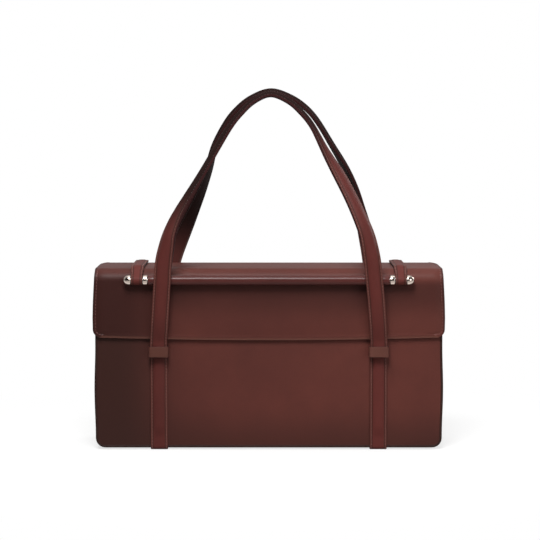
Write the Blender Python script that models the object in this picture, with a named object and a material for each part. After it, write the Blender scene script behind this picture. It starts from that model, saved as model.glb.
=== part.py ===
"""East-west leather handbag with a flap, a round cross bar and two strap handles.

Units are metres, +Z is up and the front faces -Y. The origin is on the ground below
the middle of the bag. In a side section, "forward" is the distance in front of the
middle plane, so a point on the back has a negative forward value.
"""
import math

import bmesh
import bpy
import numpy as np
from mathutils import Matrix, Vector

MM = 0.001
FRONT = -1.0
BACK = 1.0
LEFT = -1.0
RIGHT = 1.0

# Clearances
seat_gap = 0.3 * MM
flap_clearance = 0.5 * MM
cut_overrun = 2.0 * MM

# Body
body_half_width = 162.6 * MM
body_bulge = 1.6 * MM
bulge_low = 12.0 * MM
bulge_high = 100.0 * MM
body_depth = 80.0 * MM
body_corner = 10.0 * MM
front_rim_drop = 10.0 * MM
gusset_drop = 13.0 * MM
base_seam_inset = 12.5 * MM
panel_skin = 1.6 * MM
panel_edge = 0.45 * MM
welt_width = 2.6 * MM
welt_depth = 3.1 * MM
welt_round = 0.9 * MM
board_thickness = 1.2 * MM
base_board_thickness = 1.6 * MM
lining_skin = 0.8 * MM
lining_drop = 1.0 * MM
facing_skin = 1.2 * MM
facing_height = 24.0 * MM
facing_end_inset = 4.0 * MM

# Flap
flap_top_height = 172.5 * MM
flap_shoulder = 12.0 * MM
flap_overhang = 1.8 * MM
flap_flare = 1.8 * MM
flap_front_length = 65.0 * MM
flap_edge_bow = 2.7 * MM
flap_corner = 7.5 * MM
flap_leather = 1.3 * MM
flap_board = 0.7 * MM
flap_lining = 0.7 * MM
flap_turn_in = 1.8 * MM
crease_drop = 14.5 * MM
back_roll = 0.8 * MM

# Magnets under the flap
magnet_radius = 7.0 * MM
magnet_rise = 13.0 * MM

# Straps
strap_width = 16.2 * MM
strap_skin = 1.2 * MM
strap_end_inset = 58.6 * MM
crown_width = 9.0 * MM
crown_slope = 0.9 * MM
filler_thickness = 1.3 * MM
girth_skin = 1.4 * MM
girth_filler = 1.7 * MM
girth_inner_corner = 1.5 * MM
girth_fade_high = 26.0 * MM
girth_fade_low = 12.0 * MM

# Keepers
keeper_drop = 8.2 * MM
keeper_height = 10.2 * MM
keeper_skin = 1.0 * MM

# Handles
handle_pivot_rise = 4.2 * MM
handle_rise = 232.5 * MM
back_handle_extra_rise = 3.0 * MM
handle_swell = 12.15 * MM
handle_apex_forward = 9.5 * MM
handle_swing_degrees = 95.0

# Cross bar
bar_drop = 10.3 * MM
bar_core_radius = 2.5 * MM
sleeve_skin = 1.8 * MM
bar_end_inset = 49.0 * MM
ferrule_length = 4.6 * MM
ferrule_lip = 0.15 * MM
tab_width = 10.8 * MM
tab_thickness = 2.0 * MM
tab_wrap_degrees = 290.0
cap_length = 7.2 * MM
cap_collar = 1.6 * MM
cap_wall = 1.5 * MM
cap_nose_radius = 1.1 * MM
turned_edge = 0.5 * MM

# Rows of a handle's path from its pivots to its apex, as shares: of the rise, of the straps'
# distance from the middle on the left and on the right, of the way from pivot to belly, of the
# way from belly to apex, and of the quarter turn that the strap makes on the left and right.
front_handle_shares = (
    (0.000, 1.000, 1.000, 0.000, 0.000, 0.00, 0.00),
    (0.074, 0.988, 0.988, 0.470, 0.000, 0.00, 0.00),
    (0.174, 0.972, 0.970, 0.680, 0.000, 0.00, 0.00),
    (0.253, 0.958, 0.953, 0.857, 0.000, 0.01, 0.01),
    (0.325, 0.943, 0.941, 0.935, 0.000, 0.10, 0.06),
    (0.389, 0.916, 0.921, 1.000, 0.000, 0.31, 0.22),
    (0.445, 0.882, 0.894, 1.000, 0.014, 0.50, 0.36),
    (0.515, 0.813, 0.838, 1.000, 0.103, 0.64, 0.46),
    (0.588, 0.727, 0.764, 1.000, 0.247, 0.78, 0.52),
    (0.683, 0.603, 0.655, 1.000, 0.443, 0.85, 0.66),
    (0.778, 0.478, 0.522, 1.000, 0.639, 0.89, 0.88),
    (0.873, 0.346, 0.404, 1.000, 0.814, 0.94, 0.97),
    (0.929, 0.242, 0.318, 1.000, 0.911, 0.98, 1.00),
    (0.972, 0.132, 0.207, 1.000, 0.973, 1.00, 1.00),
    (1.000, -0.027, 0.027, 1.000, 1.000, 1.00, 1.00),
)
back_handle_shares = (
    (0.000, 1.000, 1.000, 0.000, 0.000, 0.00, 0.00),
    (0.074, 0.985, 0.994, 0.470, 0.000, 0.00, 0.00),
    (0.174, 0.960, 0.988, 0.680, 0.000, 0.00, 0.00),
    (0.253, 0.935, 0.980, 0.857, 0.000, 0.01, 0.01),
    (0.325, 0.888, 0.962, 0.935, 0.000, 0.08, 0.08),
    (0.389, 0.832, 0.937, 1.000, 0.000, 0.20, 0.24),
    (0.445, 0.776, 0.905, 1.000, 0.014, 0.34, 0.44),
    (0.515, 0.704, 0.860, 1.000, 0.103, 0.50, 0.60),
    (0.588, 0.638, 0.803, 1.000, 0.247, 0.64, 0.72),
    (0.683, 0.562, 0.716, 1.000, 0.443, 0.80, 0.84),
    (0.778, 0.487, 0.593, 1.000, 0.639, 0.90, 0.94),
    (0.873, 0.383, 0.466, 1.000, 0.814, 1.00, 1.00),
    (0.929, 0.290, 0.375, 1.000, 0.911, 1.00, 1.00),
    (0.972, 0.160, 0.238, 1.000, 0.973, 1.00, 1.00),
    (1.000, -0.032, 0.032, 1.000, 1.000, 1.00, 1.00),
)

# Counts
side_rows = 9
corner_steps = 5
shoulder_steps = 7
bow_columns = 8
round_sides = 32
dome_steps = 5
loop_steps = 16
path_steps = 2
turn_per_step_share = 0.06

# Worked-out sizes
half_depth = body_depth / 2
base_height = girth_skin + seat_gap
front_rim_height = flap_top_height - front_rim_drop
gusset_top = flap_top_height - gusset_drop
lining_top = gusset_top - lining_drop
flap_half_width = body_half_width + flap_overhang
flap_edge_height = flap_top_height - flap_front_length
crease_height = flap_top_height - crease_drop
magnet_height = flap_edge_height + magnet_rise
flap_thickness = flap_leather + flap_board + flap_lining + 2 * seat_gap
flap_inner_forward = half_depth + flap_clearance
flap_outer_forward = flap_inner_forward + flap_thickness
flap_mid_forward = flap_outer_forward - flap_thickness / 2
hinge_forward = -(half_depth - panel_skin / 2)
hinge_height = flap_top_height - flap_thickness / 2
flap_under_height = flap_top_height - flap_thickness
crown_rise = filler_thickness + seat_gap
strap_face_base = strap_skin + seat_gap
strap_thickness = strap_face_base + crown_rise + strap_skin
girth_crown_rise = girth_filler + seat_gap
girth_forward = half_depth + seat_gap
girth_outer_forward = girth_forward + girth_crown_rise + girth_skin
tail_forward = girth_outer_forward + seat_gap
pivot_forward = tail_forward + strap_thickness / 2
handle_belly = pivot_forward + handle_swell
keeper_top = flap_edge_height - keeper_drop
keeper_low = keeper_top - keeper_height
handle_pivot_height = keeper_top + handle_pivot_rise
keeper_inner_forward = tail_forward + strap_thickness + seat_gap
strap_x = body_half_width - strap_end_inset
bar_height = flap_top_height - bar_drop
sleeve_half_length = body_half_width - bar_end_inset
bar_radius = bar_core_radius + seat_gap + sleeve_skin
bore_radius = bar_core_radius + seat_gap
loop_radius = bore_radius + tab_thickness
bar_forward = flap_outer_forward + seat_gap + loop_radius
ferrule_start = sleeve_half_length + seat_gap
tab_x = ferrule_start + ferrule_length + seat_gap + tab_width / 2
cap_start = tab_x + tab_width / 2 + seat_gap
welt_back = half_depth - welt_depth
gusset_half_depth = welt_back - seat_gap
panel_inset = welt_width + seat_gap
board_outer = half_depth - panel_skin - seat_gap
lining_outer = board_outer - board_thickness - seat_gap
lining_inner = lining_outer - lining_skin
base_board_low = base_height + panel_skin + seat_gap
lining_low = base_board_low + base_board_thickness + seat_gap
side_lining_inset = panel_skin + seat_gap


def clear_scene():
    """Remove every object that the file holds."""
    for item in list(bpy.data.objects):
        bpy.data.objects.remove(item, do_unlink=True)


def make_material(name, color, roughness, metallic=0.0):
    """A plain Principled material for one piece."""
    material = bpy.data.materials.new(name)
    material.use_nodes = True
    shader = material.node_tree.nodes["Principled BSDF"]
    shader.inputs["Base Color"].default_value = (*color, 1.0)
    shader.inputs["Roughness"].default_value = roughness
    shader.inputs["Metallic"].default_value = metallic
    return material


def calf(name):
    return make_material(name + "_leather", (0.105, 0.022, 0.022), 0.42)


def lining_leather(name):
    return make_material(name + "_lining_leather", (0.125, 0.032, 0.030), 0.55)


def cloth(name):
    return make_material(name + "_cloth", (0.085, 0.020, 0.024), 0.85)


def fibreboard(name):
    return make_material(name + "_fibreboard", (0.33, 0.25, 0.18), 0.80)


def felt(name):
    return make_material(name + "_felt", (0.28, 0.24, 0.20), 0.90)


def bright_metal(name):
    return make_material(name + "_bright_metal", (0.86, 0.85, 0.83), 0.10, 1.0)


def plain_metal(name):
    return make_material(name + "_plain_metal", (0.52, 0.51, 0.50), 0.38, 1.0)


def make_empty(name, location):
    """An empty that carries a moving assembly, on its joint's axis."""
    empty = bpy.data.objects.new(name, None)
    empty.empty_display_size = strap_width
    empty.location = location
    bpy.context.collection.objects.link(empty)
    return empty


def make_object(name, shape, material, carrier=None, smooth=True):
    """Turn a bmesh in world coordinates into a named piece under its carrier."""
    bmesh.ops.recalc_face_normals(shape, faces=shape.faces)
    mesh = bpy.data.meshes.new(name)
    origin = carrier.location if carrier else Vector((0.0, 0.0, 0.0))
    bmesh.ops.translate(shape, verts=shape.verts, vec=-origin)
    shape.to_mesh(mesh)
    shape.free()
    piece = bpy.data.objects.new(name, mesh)
    bpy.context.collection.objects.link(piece)
    if carrier:
        piece.parent = carrier
    if material:
        mesh.materials.append(material)
    if smooth:
        mesh.shade_smooth()
        mesh.set_sharp_from_angle(angle=math.radians(35.0))
    return piece


def make_cutter(name, shape, carrier=None):
    """A hidden shape that only cuts another piece."""
    cutter = make_object(name, shape, None, carrier, smooth=False)
    cutter.hide_render = True
    cutter.display_type = "WIRE"
    return cutter


def cut(piece, cutter):
    """Take the cutter's space out of a piece."""
    boolean = piece.modifiers.new("cut_" + cutter.name, "BOOLEAN")
    boolean.operation = "DIFFERENCE"
    boolean.solver = "EXACT"
    boolean.object = cutter


def soften(piece, width, segments=1):
    """Round the hard edges of a piece."""
    bevel = piece.modifiers.new("soft_edges", "BEVEL")
    bevel.width = width
    bevel.segments = segments
    bevel.limit_method = "ANGLE"
    bevel.angle_limit = math.radians(50.0)


def loft(rings, across=None, ladder_caps=False):
    """Skin a row of closed rings that have equal counts, and cap both ends.

    Where the section's places across a strap are given, each patch is split from the
    near ring's lower place to the far ring's higher one, so that the layers of a
    twisted strap stay parallel. Ladder caps join the two halves of a bowed ring rung
    by rung.
    """
    shape = bmesh.new()
    loops = [[shape.verts.new(point) for point in ring] for ring in rings]
    count = len(loops[0])
    for near, far in zip(loops, loops[1:]):
        for i in range(count):
            j = (i + 1) % count
            if across is None:
                shape.faces.new((near[i], near[j], far[j], far[i]))
            elif across[i] <= across[j]:
                shape.faces.new((near[i], near[j], far[j]))
                shape.faces.new((near[i], far[j], far[i]))
            else:
                shape.faces.new((near[i], near[j], far[i]))
                shape.faces.new((near[j], far[j], far[i]))
    for loop in (list(reversed(loops[0])), loops[-1]):
        if ladder_caps:
            for i in range(count // 2 - 1):
                shape.faces.new((loop[i], loop[i + 1], loop[-2 - i], loop[-1 - i]))
        else:
            shape.faces.new(loop)
    return shape


def extrude_outline(outline, start, end, place):
    """Extrude a flat outline between two levels; place(a, b, level) gives a point."""
    shape = bmesh.new()
    face = shape.faces.new([shape.verts.new(place(a, b, start)) for a, b in outline])
    grown = bmesh.ops.extrude_face_region(shape, geom=[face])
    moved = [item for item in grown["geom"] if isinstance(item, bmesh.types.BMVert)]
    step = Vector(place(0.0, 0.0, end)) - Vector(place(0.0, 0.0, start))
    bmesh.ops.translate(shape, verts=moved, vec=step)
    return shape


def in_elevation(x, z, forward):
    """A front-view outline, set at a distance in front of the middle plane."""
    return Vector((x, -forward, z))


def in_plan(x, forward, z):
    """A top-view outline, set at a height."""
    return Vector((x, -forward, z))


def turn(profile, centre):
    """Spin an (x, radius) profile about a line along X through the centre."""
    shape = bmesh.new()
    ring = [shape.verts.new(centre + Vector((x, 0.0, radius))) for x, radius in profile]
    edges = [shape.edges.new((ring[i - 1], ring[i])) for i in range(len(ring))]
    bmesh.ops.spin(
        shape, geom=ring + edges, cent=centre, axis=(1.0, 0.0, 0.0), dvec=(0.0, 0.0, 0.0),
        angle=math.tau, steps=round_sides, use_merge=True)
    bmesh.ops.remove_doubles(shape, verts=shape.verts, dist=seat_gap / 100)
    bmesh.ops.dissolve_degenerate(shape, edges=shape.edges, dist=seat_gap / 100)
    return shape


def arc(centre_a, centre_b, radius, start, end, steps):
    """Points of a circular arc in a plane; angles in degrees."""
    angles = np.radians(np.linspace(start, end, steps + 1))
    return [(centre_a + radius * math.cos(t), centre_b + radius * math.sin(t)) for t in angles]


# The body: panels, gussets, base, welts, boards and lining


def half_width_at(height):
    """The body's half width, which swells a little at mid height."""
    share = (height - bulge_low) / (bulge_high - bulge_low)
    share = min(max(share, 0.0), 1.0)
    return body_half_width + body_bulge * math.sin(math.pi * share) ** 2


def right_side(inset, low, corner, top):
    """Outline of the body's right side, from its top down round the bottom corner."""
    heights = np.linspace(top, low + corner, side_rows)
    side = [(half_width_at(z) - inset, z) for z in heights]
    centre_x = half_width_at(low + corner) - inset - corner
    return side + arc(centre_x, low + corner, corner, 0.0, -90.0, corner_steps)[1:]


def mirrored(points):
    """The same points across the middle plane, in reverse order."""
    return [(-x, z) for x, z in reversed(points)]


def full_outline(inset, low, corner, top):
    """Closed front-view outline of a panel with round bottom corners."""
    right = right_side(inset, low, corner, top)
    return right + mirrored(right)


def make_panels():
    outline_front = full_outline(
        panel_inset, base_height + panel_inset, body_corner - panel_inset, front_rim_height)
    shape = extrude_outline(outline_front, half_depth - panel_skin, half_depth, in_elevation)
    front = make_object("front_panel", shape, calf("front_panel"))
    soften(front, panel_edge)

    back_top = hinge_height
    outline_back = full_outline(
        panel_inset, base_height + panel_inset, body_corner - panel_inset, back_top)
    shape = extrude_outline(outline_back, -half_depth + panel_skin, -half_depth, in_elevation)
    back = make_object("back_panel", shape, calf("back_panel"))
    round_back_roll(back)


def round_back_roll(back):
    """Give the back panel's top edge the round roll that the flap turns about."""
    roll = back.modifiers.new("roll", "BEVEL")
    roll.width = back_roll - panel_edge / 4
    roll.segments = 3
    roll.limit_method = "ANGLE"
    roll.angle_limit = math.radians(50.0)


def make_gusset(name, side):
    outer = right_side(0.0, base_height, body_corner, gusset_top)
    inner = right_side(panel_skin, base_height + panel_skin, body_corner - panel_skin, gusset_top)
    seam_x = body_half_width - base_seam_inset
    strip = outer + [(seam_x, base_height), (seam_x, base_height + panel_skin)]
    strip = [(side * x, z) for x, z in strip + list(reversed(inner))]
    shape = extrude_outline(strip, -gusset_half_depth, gusset_half_depth, in_elevation)
    return make_object(name, shape, calf(name))


def make_base():
    half = body_half_width - base_seam_inset - seat_gap
    low, high = base_height, base_height + panel_skin
    outline = [(-half, low), (half, low), (half, high), (-half, high)]
    shape = extrude_outline(outline, -gusset_half_depth, gusset_half_depth, in_elevation)
    return make_object("base_panel", shape, calf("base_panel"))


def make_welt(name, facing):
    """A raised leather welt down both sides and along the bottom of one face."""
    top = gusset_top
    outer = right_side(0.0, base_height, body_corner, top)
    inner = right_side(welt_width, base_height + welt_width, body_corner - welt_width, top)
    strip = outer + mirrored(outer) + [(-x, z) for x, z in inner] + list(reversed(inner))
    low, high = sorted((-facing * welt_back, -facing * half_depth))
    shape = extrude_outline(strip, low, high, in_elevation)
    piece = make_object(name, shape, calf(name))
    soften(piece, welt_round)
    return piece


def magnet_disc(front_face, thickness, height, radius):
    """A disc that faces forward, in world coordinates."""
    centre = Vector((0.0, -(front_face - thickness / 2), height))
    shape = bmesh.new()
    turned = Matrix.Translation(centre) @ Matrix.Rotation(math.radians(90.0), 4, "X")
    bmesh.ops.create_cone(
        shape, cap_ends=True, segments=round_sides, radius1=radius, radius2=radius,
        depth=thickness, matrix=turned)
    return shape


def make_boards():
    corner = body_corner - panel_inset
    low = base_height + panel_inset
    outline = full_outline(panel_inset, low, corner, front_rim_height - panel_skin)
    shape = extrude_outline(outline, board_outer - board_thickness, board_outer, in_elevation)
    front = make_object("front_board", shape, fibreboard("front_board"))
    hole = magnet_disc(
        board_outer + cut_overrun, board_thickness + 2 * cut_overrun, magnet_height,
        magnet_radius + seat_gap)
    cut(front, make_cutter("front_board_hole", hole))
    disc = magnet_disc(board_outer, board_thickness, magnet_height, magnet_radius)
    make_object("body_magnet", disc, plain_metal("body_magnet"))

    outline = full_outline(panel_inset, low, corner, flap_under_height - flap_clearance)
    shape = extrude_outline(outline, -board_outer, -board_outer + board_thickness, in_elevation)
    make_object("back_board", shape, fibreboard("back_board"))

    half = body_half_width - body_corner
    high = base_board_low + base_board_thickness
    outline = [(-half, base_board_low), (half, base_board_low), (half, high), (-half, high)]
    shape = extrude_outline(outline, -lining_outer, lining_outer, in_elevation)
    make_object("base_board", shape, fibreboard("base_board"))


def make_lining():
    """A cloth bag inside the body: an open-topped shell."""
    corner = body_corner - side_lining_inset
    outline = full_outline(side_lining_inset, lining_low, corner, lining_top)
    shape = extrude_outline(outline, -lining_outer, lining_outer, in_elevation)
    lining = make_object("lining", shape, cloth("lining"))
    room = full_outline(
        side_lining_inset + lining_skin, lining_low + lining_skin, corner - lining_skin,
        lining_top + cut_overrun)
    hollow = extrude_outline(room, -lining_inner, lining_inner, in_elevation)
    cut(lining, make_cutter("lining_hollow", hollow))


def make_facing(name, facing):
    """A leather strip along the inside of the mouth, over the top of the lining."""
    outer = lining_inner - seat_gap
    half = body_half_width - side_lining_inset - lining_skin - facing_end_inset
    high = lining_top
    low = high - facing_height
    outline = [(-half, low), (half, low), (half, high), (-half, high)]
    near, far = sorted((-facing * outer, -facing * (outer - facing_skin)))
    shape = extrude_outline(outline, near, far, in_elevation)
    piece = make_object(name, shape, lining_leather(name))
    soften(piece, facing_skin / 4)


# The flap: a top part that turns on the back edge and a front part that folds on it


def flap_top_stations(depth, end_inset):
    """Side-section points at a depth under the flap's outer face, back to front."""
    centre = flap_outer_forward - flap_shoulder
    level = flap_top_height - flap_shoulder
    radius = flap_shoulder - depth
    start = hinge_forward + back_roll + seat_gap + end_inset
    low = crease_height + flap_thickness / 2 + seat_gap + end_inset
    last = math.degrees(math.asin(max(low - level, 0.0) / radius))
    points = [(start, flap_top_height - depth)]
    points += arc(centre, level, radius, 90.0, last, shoulder_steps)
    if low < level:
        points.append((flap_outer_forward - depth, low))
    return points


def flap_top_layer(outer_depth, inner_depth, inset=0.0):
    """A layer of the flap's top, between two depths below the outer face."""
    half = flap_half_width - inset
    rings = []
    outer = flap_top_stations(outer_depth, inset)
    inner = flap_top_stations(inner_depth, inset)
    for upper, under in zip(outer, inner):
        rings.append([
            in_elevation(-half, upper[1], upper[0]), in_elevation(-half, under[1], under[0]),
            in_elevation(half, under[1], under[0]), in_elevation(half, upper[1], upper[0])])
    return loft(rings)


def flap_front_layer(outer_forward, thickness, inset, rolled=False):
    """A layer of the flap's front, with a bowed bottom edge and round corners."""
    low = flap_edge_height + inset
    corner = flap_corner - inset
    straight_low = low + corner
    mid = outer_forward - thickness / 2
    rows = []
    if rolled:
        for degrees in (25.0, 45.0, 65.0):
            turned = math.radians(degrees)
            rise = thickness / 2 * math.cos(turned)
            rows.append((crease_height + rise, flap_half_width, thickness * math.sin(turned)))
        rows.append((crease_height, flap_half_width, thickness))
    else:
        top = crease_height - flap_thickness / 2 - inset
        rows.append((top, flap_width_at(top) - inset, thickness))
    middle = (crease_height + straight_low) / 2
    rows.append((middle, flap_width_at(middle) - inset, thickness))
    rows.append((straight_low, flap_width_at(straight_low) - inset, thickness))
    widest = flap_width_at(straight_low) - inset
    for x, z in arc(widest - corner, straight_low, corner, 0.0, -90.0, corner_steps)[1:]:
        rows.append((z, x, thickness))
    rings = []
    for height, half, thick in rows:
        sag_share = max(0.0, (crease_height - height) / (crease_height - low)) ** 2
        places = []
        for i in range(bow_columns + 1):
            share = 2 * i / bow_columns - 1
            sag = flap_edge_bow * sag_share * (1 - share * share)
            places.append((share * half, height - sag))
        front = [Vector((x, -(mid + thick / 2), z)) for x, z in places]
        back = [Vector((x, -(mid - thick / 2), z)) for x, z in reversed(places)]
        rings.append(front + back)
    return loft(rings, ladder_caps=True)


def flap_width_at(height):
    """The flap's half width, which flares a little towards its bottom edge."""
    share = (crease_height - height) / (crease_height - flap_edge_height)
    return flap_half_width + flap_flare * min(max(share, 0.0), 1.0)


def make_flap_top(carrier):
    board_depth = flap_leather + seat_gap
    lining_depth = board_depth + flap_board + seat_gap
    leather = make_object(
        "flap_top_leather", flap_top_layer(0.0, flap_thickness),
        calf("flap_top_leather"), carrier)
    pocket = flap_top_layer(flap_leather, flap_thickness + cut_overrun, flap_turn_in)
    cut(leather, make_cutter("flap_top_pocket", pocket, carrier))
    inset = flap_turn_in + seat_gap
    board = flap_top_layer(board_depth, board_depth + flap_board, inset)
    make_object("flap_top_board", board, fibreboard("flap_top_board"), carrier)
    lining = flap_top_layer(lining_depth, flap_thickness, inset)
    make_object("flap_top_lining", lining, lining_leather("flap_top_lining"), carrier)


def make_flap_front(carrier):
    leather = make_object(
        "flap_front_leather", flap_front_layer(flap_outer_forward, flap_thickness, 0.0, True),
        calf("flap_front_leather"), carrier)
    floor = flap_outer_forward - flap_leather
    depth = flap_thickness - flap_leather + cut_overrun
    pocket = flap_front_layer(floor, depth, flap_turn_in)
    cut(leather, make_cutter("flap_front_pocket", pocket, carrier))
    inset = flap_turn_in + seat_gap
    board_forward = floor - seat_gap
    board = flap_front_layer(board_forward, flap_board, inset)
    board = make_object("flap_front_board", board, fibreboard("flap_front_board"), carrier)
    hole = magnet_disc(
        board_forward + cut_overrun, flap_board + 2 * cut_overrun, magnet_height,
        magnet_radius + seat_gap)
    cut(board, make_cutter("flap_board_hole", hole, carrier))
    disc = magnet_disc(board_forward, flap_board, magnet_height, magnet_radius)
    make_object("flap_magnet", disc, plain_metal("flap_magnet"), carrier)
    lining_forward = board_forward - flap_board - seat_gap
    lining = flap_front_layer(lining_forward, flap_lining, inset)
    make_object("flap_front_lining", lining, lining_leather("flap_front_lining"), carrier)


# The cross bar and the two tabs that hold it


def tab_path():
    """Side-section points and outward normals along the middle of a tab.

    The strip lies on the flap, leaves its shoulder on the common tangent to the loop,
    and winds round the bar until its end comes back below the strip.
    """
    shoulder = Vector((flap_outer_forward - flap_shoulder, flap_top_height - flap_shoulder))
    bar = Vector((bar_forward, bar_height))
    outer = flap_shoulder + seat_gap + tab_thickness / 2
    loop = bore_radius + tab_thickness / 2
    across = bar - shoulder
    towards_bar = math.atan2(across.y, across.x)
    tangent = math.degrees(towards_bar + math.acos((outer - loop) / across.length))
    start = hinge_forward + back_roll + seat_gap + tab_thickness
    points = [(start, shoulder.y + outer, 90.0)]
    for degrees in np.linspace(90.0, tangent, 4):
        turned = math.radians(degrees)
        points.append((
            shoulder.x + outer * math.cos(turned), shoulder.y + outer * math.sin(turned), degrees))
    for degrees in np.linspace(tangent, tangent - tab_wrap_degrees, loop_steps + 1):
        turned = math.radians(degrees)
        points.append((
            bar.x + loop * math.cos(turned), bar.y + loop * math.sin(turned), degrees))
    return points


def make_tab(name, side, carrier):
    """A leather strip with softly rounded long edges, closed round the bar."""
    half_w = tab_width / 2
    half_t = tab_thickness / 2
    trim = tab_thickness / 5
    section = [
        (-half_w, -half_t), (half_w, -half_t), (half_w, half_t - trim),
        (half_w - trim, half_t), (-half_w + trim, half_t), (-half_w, half_t - trim)]
    rings = []
    for forward, height, degrees in tab_path():
        turned = math.radians(degrees)
        normal = Vector((0.0, -math.cos(turned), math.sin(turned)))
        middle = Vector((side * tab_x, -forward, height))
        rings.append([middle + Vector((a, 0.0, 0.0)) + normal * b for a, b in section])
    return make_object(name, loft(rings), calf(name), carrier)


def make_bar(carrier):
    centre = carrier.location.copy()
    half = cap_start + cap_length - cap_wall - seat_gap
    core = [
        (-half, 0.0), (-half, bar_core_radius), (half, bar_core_radius), (half, 0.0)]
    make_object("bar_core", turn(core, centre), plain_metal("bar_core"), carrier)
    trim = turned_edge
    sleeve = [
        (-sleeve_half_length, bore_radius), (-sleeve_half_length, bar_radius - trim),
        (-sleeve_half_length + trim, bar_radius), (sleeve_half_length - trim, bar_radius),
        (sleeve_half_length, bar_radius - trim), (sleeve_half_length, bore_radius)]
    make_object("bar_sleeve", turn(sleeve, centre), calf("bar_sleeve"), carrier)
    for name, side in (("left", LEFT), ("right", RIGHT)):
        make_ferrule(name + "_ferrule", side, centre, carrier)
        make_cap(name + "_end_cap", side, centre, carrier)


def make_ferrule(name, side, centre, carrier):
    """A polished ring with a full round rim at both ends."""
    near = ferrule_start
    far = near + ferrule_length
    outer = bar_radius + ferrule_lip
    trim = turned_edge
    profile = [(near, bore_radius), (near, outer - trim)]
    profile += [(near + trim / 3, outer - trim / 3), (near + trim, outer)]
    profile += [(far - trim, outer), (far - trim / 3, outer - trim / 3)]
    profile += [(far, outer - trim), (far, bore_radius)]
    profile = [(side * x, r) for x, r in profile]
    make_object(name, turn(profile, centre), bright_metal(name), carrier)


def make_cap(name, side, centre, carrier):
    """A bullet-nosed cap, bored from its inner end for the core."""
    outer = bar_radius + ferrule_lip
    trim = turned_edge
    near = cap_start
    nose = near + cap_length
    shoulder = near + cap_collar
    bore_end = nose - cap_wall
    profile = [(bore_end, 0.0), (bore_end, bore_radius), (near, bore_radius)]
    profile += [(near, outer - trim), (near + trim, outer), (shoulder, outer)]
    for i in range(1, dome_steps + 1):
        turned = math.radians(90.0 * i / dome_steps)
        x = shoulder + (cap_length - cap_collar) * math.sin(turned)
        radius = cap_nose_radius + (outer - cap_nose_radius) * math.cos(turned)
        profile.append((x, radius))
    profile.append((nose, 0.0))
    profile = [(side * x, r) for x, r in profile]
    make_object(name, turn(profile, centre), bright_metal(name), carrier)


# Straps: a padded face over a filler, with a flat lining strip behind


def face_section(skin, base, rise, share=1.0):
    """Hat-shaped section: flat margins and a raised crown with room for a filler."""
    half = strap_width / 2
    foot = crown_width / 2 + seat_gap
    roof = foot - crown_slope / 3
    lift = rise * share
    inner = [(-half, base), (-foot, base), (-roof, base + lift), (roof, base + lift)]
    inner += [(foot, base), (half, base)]
    foot_out = foot + crown_slope
    top = base + skin
    outer = [(half, top), (foot_out, top), (foot_out - crown_slope, top + lift)]
    outer += [(-foot_out + crown_slope, top + lift), (-foot_out, top), (-half, top)]
    return inner + outer


def filler_section(base, thickness):
    half = crown_width / 2 - crown_slope / 3
    foot = crown_width / 2
    high = base + thickness
    return [(-foot, base), (foot, base), (half, high), (-half, high)]


def flat_section(base, thickness):
    half = strap_width / 2
    return [(-half, base), (half, base), (half, base + thickness), (-half, base + thickness)]


def tail_section():
    """The whole strap's section as one piece, where a keeper holds its end."""
    half = strap_width / 2
    foot_out = crown_width / 2 + seat_gap + crown_slope
    margin = strap_face_base + strap_skin
    roof = foot_out - crown_slope
    return [
        (-half, 0.0), (half, 0.0), (half, margin), (foot_out, margin),
        (roof, strap_thickness), (-roof, strap_thickness), (-foot_out, margin), (-half, margin)]


def girth_stations(facing):
    """Path of a girth strap's inner face: down one side, to the middle of the base."""
    low = girth_skin
    corner = girth_inner_corner
    rows = [
        (girth_forward, keeper_top, 0.0, 1.0),
        (girth_forward, keeper_low, 0.0, 1.0),
        (girth_forward, girth_fade_high, 0.0, 1.0),
        (girth_forward, (girth_fade_high + girth_fade_low) / 2, 0.0, 0.5),
        (girth_forward, girth_fade_low, 0.0, 0.0)]
    centre = girth_forward - corner
    for degrees in np.linspace(0.0, -90.0, corner_steps + 1):
        turned = math.radians(degrees)
        rows.append((
            centre + corner * math.cos(turned), low + corner + corner * math.sin(turned),
            degrees, 0.0))
    return [(facing * forward, z, degrees, share) for forward, z, degrees, share in rows]


def girth_ring(row, facing, x, section):
    """Place a section across the girth strap's path."""
    y, z, degrees, _ = row
    turned = math.radians(degrees)
    normal = Vector((0.0, facing * math.cos(turned), math.sin(turned)))
    start = Vector((x, y, z))
    return [start + Vector((a, 0.0, 0.0)) + normal * b for a, b in section]


def make_girth_strap(name, side):
    """One strap from the front keeper, under the base and up to the back keeper."""
    x = side * strap_x
    rings = []
    for row in girth_stations(FRONT):
        section = face_section(girth_skin, 0.0, girth_crown_rise, row[3])
        rings.append(girth_ring(row, FRONT, x, section))
    for row in reversed(girth_stations(BACK)):
        section = face_section(girth_skin, 0.0, girth_crown_rise, row[3])
        rings.append(girth_ring(row, BACK, x, section))
    make_object(name, loft(rings), calf(name))


def make_girth_filler(name, side, facing):
    """The strip that pads a girth strap between its keeper and the bag's bottom."""
    x = side * strap_x
    section = filler_section(0.0, girth_filler)
    rings = []
    for height in (keeper_top, girth_fade_high + seat_gap):
        row = (facing * girth_forward, height, 0.0, 1.0)
        rings.append(girth_ring(row, facing, x, section))
    make_object(name, loft(rings), felt(name))


def make_keeper(name, side, facing):
    """A bridge of leather over the strap, its legs down to the body's face."""
    inner = strap_width / 2 + seat_gap
    outer = inner + keeper_skin
    roof = keeper_inner_forward + keeper_skin
    foot = girth_forward
    bridge = [
        (-outer, foot), (-inner, foot), (-inner, keeper_inner_forward),
        (inner, keeper_inner_forward), (inner, foot), (outer, foot), (outer, roof), (-outer, roof)]
    bridge = [(side * strap_x + a, -facing * b) for a, b in bridge]
    shape = extrude_outline(bridge, keeper_low, keeper_top, in_plan)
    piece = make_object(name, shape, calf(name))
    soften(piece, keeper_skin / 4)


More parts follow.
